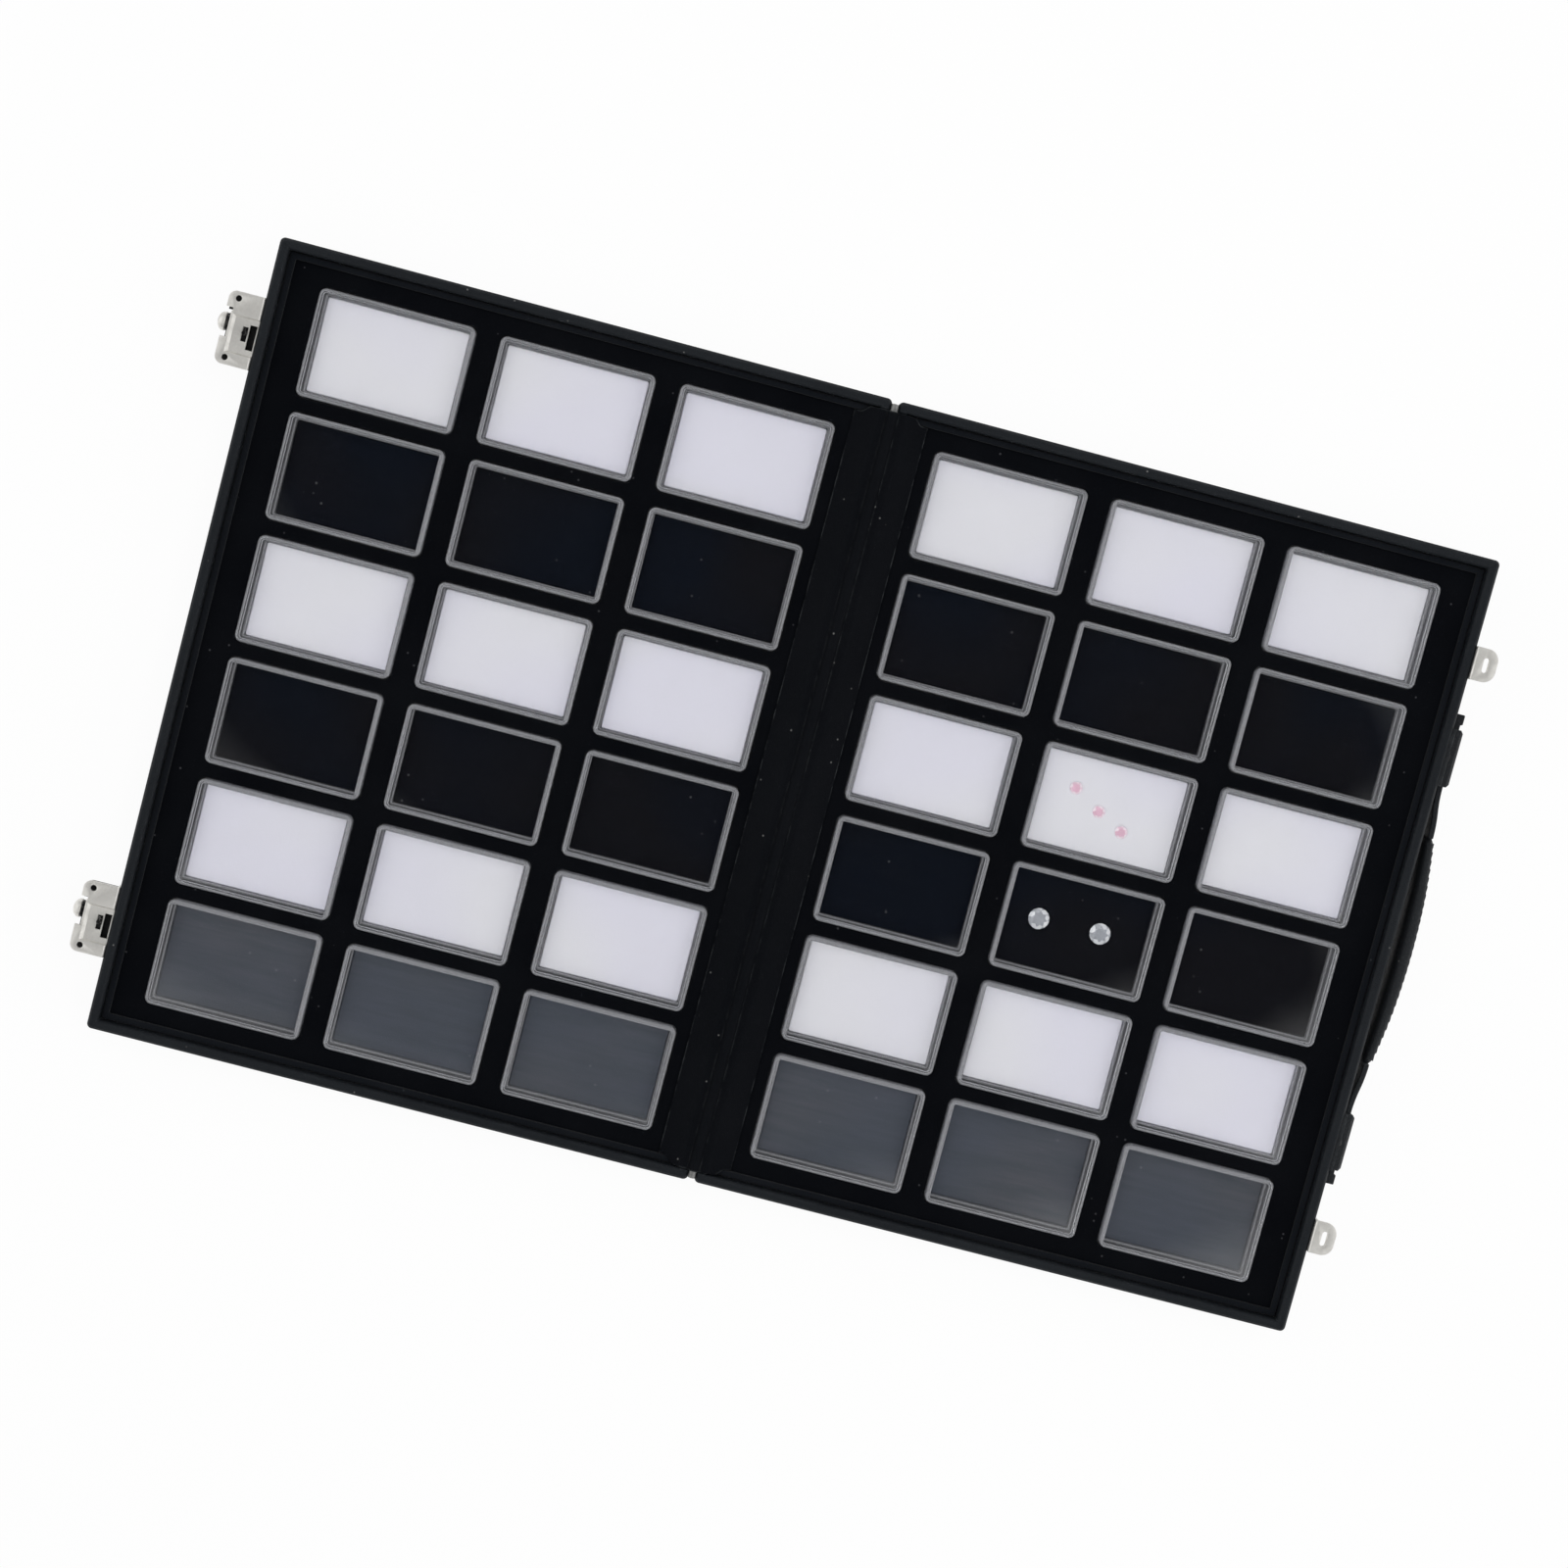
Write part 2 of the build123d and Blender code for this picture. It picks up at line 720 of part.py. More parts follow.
save("base_wall_frame", frame - leaf_holes - catch_holes - rivet_holes)
save("lid_wall_frame", on_lid(frame - leaf_holes - latch_holes))
panel_board = bottom_panel()
save("base_bottom_panel", panel_board)
save("lid_top_panel", on_lid(panel_board))
for kind, shape in (("lining", lining_ring()), ("insert", pocket_insert())):
    save(f"base_{kind}", shape)
    save(f"lid_{kind}", on_lid(shape))

nails = at_leaf(fastener(nail_head_radius, nail_head, nail_shank_radius, nail_shank_sides))
save("base_hinge_leaf", hinge_leaf(0) - leaf_holes)
save("lid_hinge_leaf", on_lid(hinge_leaf(1) - leaf_holes))
save("base_hinge_nails", nails)
save("lid_hinge_nails", [on_lid(nail) for nail in nails])
save("hinge_pin", rod_y(pin_radius, hinge_x, (-hinge_length / 2, hinge_length / 2), hinge_z))
save("spine_strip", spine_strip())

for name, side in (("left", -1), ("right", 1)):
    save(f"{name}_latch_plate", on_lid_at_latch(side, latch_plate()))
    save(f"{name}_latch_slide", on_lid_at_latch(side, latch_slide()))
    save(f"{name}_latch_button", on_lid_at_latch(side, latch_button()))
    save(f"{name}_latch_keep", on_lid_at_latch(side, latch_keep()))
    save(f"{name}_latch_spring", on_lid_at_latch(side, latch_spring()))
    save(f"{name}_catch_tab", at_latch(side) * catch_tab())
    save(f"{name}_strap_end", at_handle(strap_end(side)))
    save(f"{name}_strap_keeper", at_handle(strap_keeper(side)))
screw = fastener(screw_head_radius, screw_head, screw_shank_radius)
latch_screws = at_places(screw, latch_sheet, latch_screw_places())
catch_screws = at_places(screw, tab_sheet, tab_screw_places())
save("latch_screws", [on_lid_at_latch(side, shape) for side in (-1, 1) for shape in latch_screws])
save("catch_screws", [at_latch(side) * shape for side in (-1, 1) for shape in catch_screws])
save("keeper_rivets", at_keepers(fastener(rivet_head_radius, rivet_head, rivet_shank_radius)))
save("handle_grip", at_handle(handle_grip()))

bottom, cover, plain_pad = box_bottom(), box_cover(), pad()
for half in ("base", "lid"):
    groups = {"box_bottoms": [], "box_covers": [], "white_pads": [], "black_pads": [], "grey_pads": []}
    for row in range(rows):
        for column in range(columns):
            if half == "base" and column == gem_column and row in (pink_row, clear_row):
                continue
            place = pocket_place(column, row)
            if half == "lid":
                place = Pos(2 * hinge_x, 0, 0) * place
            groups["box_bottoms"].append(place * bottom)
            groups["box_covers"].append(place * cover)
            groups[row_pads[row] + "_pads"].append(place * plain_pad)
    for kind, shapes in groups.items():
        save(f"{half}_{kind}", shapes)

for name, row, radius, shares in (
    ("pink_gem", pink_row, pink_gem_radius, pink_gem_shares),
    ("clear_gem", clear_row, clear_gem_radius, clear_gem_shares),
):
    place = pocket_place(gem_column, row)
    spots = gem_places(shares)
    save(f"{name}_box_bottom", place * bottom)
    save(f"{name}_box_cover", place * cover)
    save(f"{name}_pad", place * (plain_pad - [spot * gem_seat(radius) for spot in spots]))
    save(f"{name}s", [place * spot * gem(radius) for spot in spots])
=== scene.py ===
import json
import math

import bmesh
import bpy
from mathutils import Matrix, Vector, noise
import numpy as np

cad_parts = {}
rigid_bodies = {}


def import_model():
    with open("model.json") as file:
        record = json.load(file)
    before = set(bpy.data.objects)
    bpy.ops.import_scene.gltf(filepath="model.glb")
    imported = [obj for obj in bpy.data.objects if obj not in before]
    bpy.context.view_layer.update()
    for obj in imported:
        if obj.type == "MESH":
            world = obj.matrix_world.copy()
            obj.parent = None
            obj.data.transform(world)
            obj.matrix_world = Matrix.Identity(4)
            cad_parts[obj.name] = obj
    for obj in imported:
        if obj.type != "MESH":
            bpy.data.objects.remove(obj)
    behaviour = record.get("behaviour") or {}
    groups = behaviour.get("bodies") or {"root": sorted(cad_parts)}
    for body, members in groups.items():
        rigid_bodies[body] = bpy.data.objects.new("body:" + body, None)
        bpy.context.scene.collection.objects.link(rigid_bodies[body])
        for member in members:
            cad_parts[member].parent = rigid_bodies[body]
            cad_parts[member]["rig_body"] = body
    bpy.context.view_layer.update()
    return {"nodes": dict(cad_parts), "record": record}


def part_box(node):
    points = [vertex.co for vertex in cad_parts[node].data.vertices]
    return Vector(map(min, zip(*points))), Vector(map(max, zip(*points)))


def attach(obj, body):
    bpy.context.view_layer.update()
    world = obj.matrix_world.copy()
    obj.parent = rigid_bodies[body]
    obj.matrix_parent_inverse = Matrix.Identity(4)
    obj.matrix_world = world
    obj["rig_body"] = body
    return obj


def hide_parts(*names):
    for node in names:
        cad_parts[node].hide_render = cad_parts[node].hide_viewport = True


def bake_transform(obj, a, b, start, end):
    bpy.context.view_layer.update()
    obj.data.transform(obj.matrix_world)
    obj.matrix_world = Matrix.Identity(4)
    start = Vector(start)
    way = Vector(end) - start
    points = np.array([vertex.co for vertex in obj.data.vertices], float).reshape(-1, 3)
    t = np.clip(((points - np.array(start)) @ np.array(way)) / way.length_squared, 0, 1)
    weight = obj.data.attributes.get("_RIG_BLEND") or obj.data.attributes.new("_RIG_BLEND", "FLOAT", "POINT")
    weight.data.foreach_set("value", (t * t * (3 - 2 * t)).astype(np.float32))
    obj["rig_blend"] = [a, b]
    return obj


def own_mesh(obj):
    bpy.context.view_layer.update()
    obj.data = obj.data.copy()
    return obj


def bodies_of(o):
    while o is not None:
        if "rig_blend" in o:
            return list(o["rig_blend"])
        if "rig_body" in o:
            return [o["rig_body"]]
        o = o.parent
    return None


# The looks of a folding case for loose stones, open flat, with its clear boxes in place.
# Metres, +Z up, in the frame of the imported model. The handle is at +X and the lid lies towards -X.

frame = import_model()
nodes = frame["nodes"]

# Shader building


def place(tree, kind, inputs=(), **options):
    """Adds one shader node. An input that is a socket is linked, and any other is typed in."""
    made = tree.nodes.new(kind)
    for option, value in options.items():
        setattr(made, option, value)
    for key, value in dict(inputs).items():
        if isinstance(value, bpy.types.NodeSocket):
            tree.links.new(value, made.inputs[key])
        else:
            made.inputs[key].default_value = value
    return made


def maths(tree, operation, first, second=0.0, third=0.0):
    inputs = {0: first, 1: second, 2: third}
    return place(tree, "ShaderNodeMath", inputs, operation=operation).outputs[0]


def ramp(tree, value, low, high, low_out=0.0, high_out=1.0):
    """Takes a value from low..high to low_out..high_out, held at both ends."""
    inputs = {"Value": value, "From Min": low, "From Max": high, "To Min": low_out, "To Max": high_out}
    return place(tree, "ShaderNodeMapRange", inputs).outputs["Result"]


def mixed(tree, share, first, second):
    """A colour between two, where share is 0 at the first."""
    inputs = {"Factor": share, "A": first, "B": second}
    return place(tree, "ShaderNodeMix", inputs, data_type="RGBA").outputs[2]


def noise_at(tree, vector, scale, detail=3.0, rough=0.5):
    inputs = {"Vector": vector, "Scale": scale, "Detail": detail, "Roughness": rough}
    return place(tree, "ShaderNodeTexNoise", inputs).outputs["Fac"]


def new_group(name, inputs, outputs):
    """A shader group with number inputs, given with their values, and number outputs."""
    group = bpy.data.node_groups.new(name, "ShaderNodeTree")
    for label, value in inputs.items():
        group.interface.new_socket(label, in_out="INPUT", socket_type="NodeSocketFloat").default_value = value
    for label in outputs:
        group.interface.new_socket(label, in_out="OUTPUT", socket_type="NodeSocketFloat")
    return group, group.nodes.new("NodeGroupInput").outputs, group.nodes.new("NodeGroupOutput").inputs


def object_place(tree):
    return place(tree, "ShaderNodeTexCoord").outputs["Object"]


def leather_grain_group():
    """Small pebbles with creases between them, and slow swells under them. The creases give the mask for
    painted shade.
    """
    group, given, wanted = new_group("leather_grain", {"Scale": 900.0}, ("Height", "Crease_shade"))
    here = object_place(group)
    wander = place(group, "ShaderNodeTexNoise", {"Vector": here, "Scale": given["Scale"]}).outputs["Color"]
    shifted = place(group, "ShaderNodeVectorMath", {0: wander, 3: 0.0009}, operation="SCALE").outputs[0]
    moved = place(group, "ShaderNodeVectorMath", {0: here, 1: shifted}, operation="ADD").outputs[0]
    cells = place(
        group, "ShaderNodeTexVoronoi", {"Vector": moved, "Scale": given["Scale"]}, feature="DISTANCE_TO_EDGE"
    ).outputs["Distance"]
    pebble = ramp(group, cells, 0.0, 0.22)
    swell = noise_at(group, here, maths(group, "MULTIPLY", given["Scale"], 0.06))
    height = maths(group, "MULTIPLY_ADD", swell, 0.6, pebble)
    group.links.new(height, wanted["Height"])
    group.links.new(maths(group, "SUBTRACT", 1.0, pebble), wanted["Crease_shade"])
    return group


def edge_wear_group():
    """A mask of the edges, broken up as rubbing leaves it."""
    group, given, wanted = new_group("edge_wear", {"Width": 0.0008, "Breakup": 180.0}, ("Mask",))
    eased = place(group, "ShaderNodeBevel", {"Radius": given["Width"]}, samples=4).outputs["Normal"]
    flat = place(group, "ShaderNodeNewGeometry").outputs["Normal"]
    turned = place(group, "ShaderNodeVectorMath", {0: eased, 1: flat}, operation="DOT_PRODUCT").outputs
    edge = ramp(group, turned["Value"], 0.995, 0.85)
    patches = ramp(group, noise_at(group, object_place(group), given["Breakup"], 6.0, 0.65), 0.42, 0.62)
    group.links.new(maths(group, "MULTIPLY", edge, patches), wanted["Mask"])
    return group


def dust_group():
    """Fine specks of dust, thickest on what faces up."""
    group, given, wanted = new_group("dust", {"Scale": 420.0, "Amount": 0.5}, ("Mask",))
    here = object_place(group)
    specks = place(group, "ShaderNodeTexVoronoi", {"Vector": here, "Scale": given["Scale"]}).outputs
    dots = ramp(group, specks["Distance"], 0.16, 0.06)
    drawn = place(group, "ShaderNodeSeparateColor", {"Color": specks["Color"]}).outputs[0]
    rare = ramp(group, drawn, 0.93, 0.94)
    normal = place(group, "ShaderNodeNewGeometry").outputs["Normal"]
    up = ramp(group, place(group, "ShaderNodeSeparateXYZ", {0: normal}).outputs["Z"], 0.2, 0.9)
    mask = maths(group, "MULTIPLY", maths(group, "MULTIPLY", dots, rare), up)
    group.links.new(maths(group, "MULTIPLY", mask, given["Amount"]), wanted["Mask"])
    return group


def pile_group():
    """The stand of a short pile: fine fibres, with slow patches where it lies another way, which give the
    mask for painted sheen.
    """
    group, given, wanted = new_group("pile", {"Scale": 2600.0, "Patches": 40.0}, ("Height", "Sheen_patches"))
    here = object_place(group)
    fibres = noise_at(group, here, given["Scale"], 2.0, 0.7)
    tufts = noise_at(group, here, maths(group, "MULTIPLY", given["Scale"], 0.3))
    group.links.new(maths(group, "MULTIPLY_ADD", tufts, 0.6, fibres), wanted["Height"])
    group.links.new(ramp(group, noise_at(group, here, given["Patches"]), 0.3, 0.7), wanted["Sheen_patches"])
    return group


def smudge_group():
    """Slow smears and fine scratches for polished faces."""
    group, given, wanted = new_group("smudges", {"Scale": 60.0}, ("Smears", "Scratches"))
    here = object_place(group)
    smears = ramp(group, noise_at(group, here, given["Scale"], 5.0, 0.6), 0.45, 0.7)
    drawn = place(group, "ShaderNodeMapping", {"Vector": here, "Scale": (1.0, 14.0, 14.0)}).outputs[0]
    fine = noise_at(group, drawn, maths(group, "MULTIPLY", given["Scale"], 6.0), 2.0)
    group.links.new(smears, wanted["Smears"])
    group.links.new(ramp(group, fine, 0.62, 0.7), wanted["Scratches"])
    return group


leather_grain = leather_grain_group()
edge_wear = edge_wear_group()
dust = dust_group()
pile = pile_group()
smudges = smudge_group()


def use(tree, group, **inputs):
    """Places a group and returns its outputs."""
    made = place(tree, "ShaderNodeGroup", node_tree=group)
    for label, value in inputs.items():
        made.inputs[label].default_value = value
    return made.outputs


def wire(tree, surface, **sockets):
    """Links what varies over a surface to the sockets of its shader."""
    for label, socket in sockets.items():
        tree.links.new(socket, surface.inputs[label.replace("_", " ")])


def bumped(tree, surface, height, distance, strength):
    inputs = {"Height": height, "Distance": distance, "Strength": strength}
    wire(tree, surface, Normal=place(tree, "ShaderNodeBump", inputs).outputs["Normal"])


def new_material(name, **settings):
    """A material with one Principled surface. Settings are typed on its sockets."""
    material = bpy.data.materials.new(name)
    material.use_nodes = True
    tree = material.node_tree
    surface = tree.nodes["Principled BSDF"]
    for label, value in settings.items():
        surface.inputs[label.replace("_", " ")].default_value = value
    return material, tree, surface


def let_lamps_through(tree, surface):
    """Clear pieces pass lamp light on, so that what lies in them isn't left dark."""
    shadow = place(tree, "ShaderNodeLightPath").outputs["Is Shadow Ray"]
    passing = place(tree, "ShaderNodeBsdfTransparent").outputs[0]
    either = place(tree, "ShaderNodeMixShader", {0: shadow, 1: surface.outputs[0], 2: passing})
    tree.links.new(either.outputs[0], tree.nodes["Material Output"].inputs["Surface"])


# Materials


def leatherette_material(name, dark, light, grain, depth, rough, gloss):
    """Black leather-like paper: pebbled, rubbed paler at its edges, with painted shade in the creases of its
    grain.
    """
    material, tree, surface = new_material(name, Specular_IOR_Level=gloss)
    relief = use(tree, leather_grain, Scale=grain)
    worn = use(tree, edge_wear, Width=0.0009)["Mask"]
    specks = use(tree, dust, Scale=330.0, Amount=0.5)["Mask"]
    patches = ramp(tree, noise_at(tree, object_place(tree), 22.0), 0.3, 0.7)
    plain = mixed(tree, patches, dark, light)
    # Painted shade: the creases between the pebbles are mixed half way to a fixed near-black.
    crease_shaded = mixed(tree, maths(tree, "MULTIPLY", relief["Crease_shade"], 0.5), plain, (0.006, 0.007, 0.009, 1.0))
    rubbed = mixed(tree, maths(tree, "MULTIPLY", worn, 0.55), crease_shaded, (0.10, 0.108, 0.112, 1.0))
    dusty = mixed(tree, specks, rubbed, (0.30, 0.30, 0.29, 1.0))
    rougher = ramp(tree, relief["Height"], 0.2, 1.4, rough + 0.14, rough)
    wire(tree, surface, Base_Color=dusty, Roughness=rougher)
    bumped(tree, surface, relief["Height"], depth, 0.7)
    return material


def velvet_material(name, dark, light):
    """Black flock, which takes up nearly all light. Its colour is painted lighter and darker in slow patches,
    as sheen where the pile lies another way.
    """
    material, tree, surface = new_material(
        name, Specular_IOR_Level=0.05, Sheen_Weight=0.05, Sheen_Roughness=0.5
    )
    fibres = use(tree, pile, Scale=2600.0, Patches=34.0)
    specks = use(tree, dust, Scale=300.0, Amount=0.35)["Mask"]
    # Painted sheen: slow patches of the pile are painted between the dark and the light colour.
    sheen_patched = mixed(tree, fibres["Sheen_patches"], dark, light)
    dusty = mixed(tree, specks, sheen_patched, (0.12, 0.12, 0.13, 1.0))
    wire(tree, surface, Base_Color=dusty, Roughness=ramp(tree, fibres["Height"], 0.3, 1.2, 1.0, 0.82))
    bumped(tree, surface, fibres["Height"], 0.0002, 0.6)
    return material


def foam_material(name, first, second, streaks, tint, pile_sheen_shade):
    """Soft faced foam. Its colour drifts from pad to pad, and streaks are faint lines along it. Slow patches
    of its pile are painted a little toward another colour, as sheen and shade.
    """
    material, tree, surface = new_material(name, Specular_IOR_Level=0.04, Sheen_Weight=0.02)
    here = object_place(tree)
    fibres = use(tree, pile, Scale=3000.0, Patches=90.0)
    drift = ramp(tree, noise_at(tree, here, 13.0, 1.0), 0.4, 0.6)
    plain = mixed(tree, drift, first, second)
    drawn = place(tree, "ShaderNodeMapping", {"Vector": here, "Scale": (40.0, 420.0, 40.0)}).outputs[0]
    lines = ramp(tree, noise_at(tree, drawn, 1.0, 3.0, 0.6), 0.35, 0.75)
    streaked = mixed(tree, maths(tree, "MULTIPLY", lines, streaks), plain, tint)
    # Painted sheen and shade: slow patches of the pile are mixed a tenth of the way toward another colour.
    shaded = mixed(tree, maths(tree, "MULTIPLY", fibres["Sheen_patches"], 0.10), streaked, pile_sheen_shade)
    dusty = mixed(tree, use(tree, dust, Scale=260.0, Amount=0.12)["Mask"], shaded, (0.5, 0.5, 0.5, 1.0))
    wire(tree, surface, Base_Color=dusty, Roughness=ramp(tree, fibres["Height"], 0.3, 1.2, 0.95, 0.75))
    bumped(tree, surface, fibres["Height"], 0.00012, 0.5)
    return material


def acrylic_material(name, colour, clear, rough):
    """Acrylic with a few smears and hairlines. The lower clear is, the milkier its moulded walls are."""
    material, tree, surface = new_material(name, Base_Color=colour, IOR=1.49, Transmission_Weight=clear)
    marks = use(tree, smudges, Scale=55.0)
    smeared = maths(tree, "MULTIPLY_ADD", marks["Smears"], 0.035, rough)
    wire(tree, surface, Roughness=maths(tree, "MULTIPLY_ADD", marks["Scratches"], 0.05, smeared))
    bumped(tree, surface, marks["Smears"], 0.00001, 0.25)
    let_lamps_through(tree, surface)
    return material


star_upright = 0.922


def stone_material(name, pale, deep, ior, clear):
    """A cut stone, painted with shade on the star facets round its table and on some facets at random, in
    place of what they reflect. Less clear, it gives back more light.
    """
    material, tree, surface = new_material(name, IOR=ior, Transmission_Weight=clear, Roughness=0.0)
    facing = place(tree, "ShaderNodeNewGeometry").outputs["True Normal"]
    upright = place(tree, "ShaderNodeSeparateXYZ", {0: facing}).outputs["Z"]
    # Painted shade: the star facets, found by how upright they face, are painted toward the deep colour.
    from_star = maths(tree, "ABSOLUTE", maths(tree, "SUBTRACT", upright, star_upright))
    stars = ramp(tree, from_star, 0.05, 0.03, 0.0, 0.85)
    # Painted shade: some more facets, picked by a noise on the way they face, are painted toward the deep
    # colour too.
    facets = ramp(tree, noise_at(tree, facing, 3.5, 0.0), 0.5, 0.64, 0.0, 0.7)
    shade = maths(tree, "MAXIMUM", stars, facets)
    wire(tree, surface, Base_Color=mixed(tree, shade, pale, deep))
    let_lamps_through(tree, surface)
    return material


def nickel_material(name, dark, light, rough):
    """Plated sheet steel with drawn lines, paler on its rubbed edges."""
    material, tree, surface = new_material(name, Metallic=0.82)
    marks = use(tree, smudges, Scale=240.0)
    worn = use(tree, edge_wear, Width=0.0004, Breakup=500.0)["Mask"]
    smeared = mixed(tree, marks["Smears"], light, dark)
    rubbed = mixed(tree, maths(tree, "MULTIPLY", worn, 0.6), smeared, (0.86, 0.84, 0.80, 1.0))
    dulled = maths(tree, "MULTIPLY_ADD", marks["Smears"], 0.14, rough)
    rougher = maths(tree, "MULTIPLY_ADD", marks["Scratches"], 0.12, dulled)
    wire(tree, surface, Base_Color=rubbed, Roughness=rougher)
    bumped(tree, surface, marks["Scratches"], 0.00002, 0.4)
    return material


def thread_material(name, dark, light):
    """Twisted sewing thread, mottled from dark to light."""
    material, tree, surface = new_material(name, Roughness=0.6)
    twist = noise_at(tree, object_place(tree), 4000.0)
    wire(tree, surface, Base_Color=mixed(tree, twist, dark, light))
    return material


leatherette = leatherette_material(
    "leatherette", (0.0056, 0.0072, 0.0094, 1.0), (0.0100, 0.0122, 0.0150, 1.0), 1100.0, 0.00011, 0.46, 0.2
)
strip_leather = leatherette_material(
    "strip_leather", (0.0016, 0.0020, 0.0030, 1.0), (0.0030, 0.0034, 0.0046, 1.0), 1500.0, 0.00008, 0.6, 0.06
)
strap_leather = leatherette_material(
    "strap_leather", (0.009, 0.010, 0.012, 1.0), (0.016, 0.018, 0.020, 1.0), 800.0, 0.00013, 0.5, 0.25
)
velvet = velvet_material("tray_velvet", (0.0015, 0.0019, 0.0030, 1.0), (0.0027, 0.0032, 0.0044, 1.0))
lining_velvet = velvet_material("lining_velvet", (0.0054, 0.0066, 0.0088, 1.0), (0.0082, 0.0094, 0.0118, 1.0))
acrylic = acrylic_material("clear_acrylic", (0.985, 0.99, 0.995, 1.0), 1.0, 0.0)
cloudy_acrylic = acrylic_material("cloudy_acrylic", (0.86, 0.87, 0.91, 1.0), 0.84, 0.04)
# The last colour of each foam is painted sheen and shade for the patches of its pile.
foams = {
    "white": foam_material(
        "white_foam", (0.72, 0.715, 0.75, 1.0), (0.70, 0.69, 0.765, 1.0), 0.10,
        (0.68, 0.67, 0.71, 1.0), (0.64, 0.64, 0.68, 1.0),
    ),
    "black": foam_material(
        "black_foam", (0.0036, 0.0052, 0.0095, 1.0), (0.0054, 0.0054, 0.0072, 1.0), 0.25,
        (0.006, 0.007, 0.010, 1.0), (0.007, 0.0075, 0.009, 1.0),
    ),
    "grey": foam_material(
        "grey_foam", (0.070, 0.077, 0.096, 1.0), (0.083, 0.086, 0.099, 1.0), 0.75,
        (0.056, 0.066, 0.078, 1.0), (0.066, 0.070, 0.074, 1.0),
    ),
}
nickel = nickel_material("nickel", (0.70, 0.685, 0.65, 1.0), (0.84, 0.825, 0.785, 1.0), 0.42)
hinge_steel = nickel_material("hinge_steel", (0.16, 0.16, 0.158, 1.0), (0.27, 0.27, 0.265, 1.0), 0.45)
blackened_steel = nickel_material(
    "blackened_steel", (0.008, 0.008, 0.009, 1.0), (0.016, 0.016, 0.017, 1.0), 0.4
)
spring_steel = nickel_material("spring_steel", (0.33, 0.33, 0.34, 1.0), (0.46, 0.46, 0.47, 1.0), 0.3)
# The second colour of each stone is painted shade for its facets.
pink_stone = stone_material("pink_stone", (0.97, 0.90, 0.94, 1.0), (0.70, 0.36, 0.50, 1.0), 1.7, 0.3)
clear_stone = stone_material("clear_stone", (0.97, 0.98, 1.0, 1.0), (0.20, 0.22, 0.26, 1.0), 2.3, 0.45)
thread = thread_material("black_thread", (0.012, 0.013, 0.015, 1.0), (0.045, 0.047, 0.05, 1.0))

# Mesh building

weld_reach = 2e-6
join_reach = 1e-6
flat_turn = math.radians(1.0)


def add_object(name, bm):
    """Makes an object of a finished bmesh and puts it in the scene."""
    mesh = bpy.data.meshes.new(name)
    bm.to_mesh(mesh)
    bm.free()
    made = bpy.data.objects.new(name, mesh)
    bpy.context.scene.collection.objects.link(made)
    return made


def add_piece(name, bm, material, body, replaced=(), sharp=35.0):
    """Makes a piece, tells the frame what it rides on, and hides the nodes that it stands for. A blended one
    has no body.
    """
    bmesh.ops.recalc_face_normals(bm, faces=bm.faces)
    piece = add_object(name, bm)
    piece.data.materials.append(material)
    piece.data.shade_smooth()
    piece.data.set_sharp_from_angle(angle=math.radians(sharp))
    if body:
        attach(piece, body)
    if replaced:
        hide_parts(*replaced)
    return piece


def body_of(node):
    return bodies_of(nodes[node])[0]


def stand_in(node, name, bm, material):
    """A piece that stands for a node, on the node's own body."""
    return add_piece(name, bm, material, body_of(node), [node])


def middle_of(corners):
    return (corners[0] + corners[1]) / 2


def welded(node):
    """A node's own mesh, with its split corners joined and its flat faces whole."""
    bm = bmesh.new()
    bm.from_mesh(nodes[node].data)
    bmesh.ops.remove_doubles(bm, verts=bm.verts, dist=weld_reach)
    bmesh.ops.dissolve_limit(bm, angle_limit=flat_turn, verts=bm.verts, edges=bm.edges)
    return bm


least_turn = math.radians(25.0)


def ease_edges(bm, width, segments=3):
    """Rounds the edges that turn by more than the least turn."""
    edges = [e for e in bm.edges if e.is_manifold and e.calc_face_angle() > least_turn]
    bmesh.ops.bevel(
        bm, geom=edges, offset=width, offset_type="OFFSET", segments=segments, profile=0.5,
        affect="EDGES", clamp_overlap=True,
    )
    return bm


def islands(node):
    """The lowest and highest corner of each separate solid of a node."""
    bm = welded(node)
    left, found = set(bm.verts), []
    while left:
        reached, group = [left.pop()], []
        while reached:
            vertex = reached.pop()
            group.append(vertex.co.copy())
            for edge in vertex.link_edges:
                other = edge.other_vert(vertex)
                if other in left:
                    left.remove(other)
                    reached.append(other)
        low = Vector(min(p[axis] for p in group) for axis in range(3))
        high = Vector(max(p[axis] for p in group) for axis in range(3))
        found.append((low, high))
    bm.free()
    return sorted(found, key=lambda corners: (round(corners[0].y, 4), round(corners[0].x, 4)))


corner_cuts = 8


def outline(length, width, radius):
    """Points round a rectangle with round corners."""
    points = []
    for quarter, (sx, sy) in enumerate(((1, 1), (-1, 1), (-1, -1), (1, -1))):
        cx, cy = sx * (length / 2 - radius), sy * (width / 2 - radius)
        for step in range(corner_cuts + 1):
            angle = math.pi / 2 * (quarter + step / corner_cuts)
            points.append(Vector((cx + radius * math.cos(angle), cy + radius * math.sin(angle))))
    return points


def skin(bm, rings, capped=True, finishes=()):
    """Joins closed rings of as many points each, and caps the first and last. Finishes number the bands."""
    rows = [[bm.verts.new(point) for point in ring] for ring in rings]
    count = len(rows[0])
    for band, (first, second) in enumerate(zip(rows, rows[1:])):
        for i in range(count):
            j = (i + 1) % count
            face = bm.faces.new((first[i], first[j], second[j], second[i]))
            face.material_index = finishes[band] if finishes else 0
    if capped:
        bm.faces.new(rows[0][::-1])
        bm.faces.new(rows[-1])
    return rows


def arc(radius, steps, start, end):
    """Points on an arc about the origin, from start to end degrees."""
    angles = [math.radians(start + (end - start) * step / steps) for step in range(steps + 1)]
    return [(radius * math.cos(angle), radius * math.sin(angle)) for angle in angles]


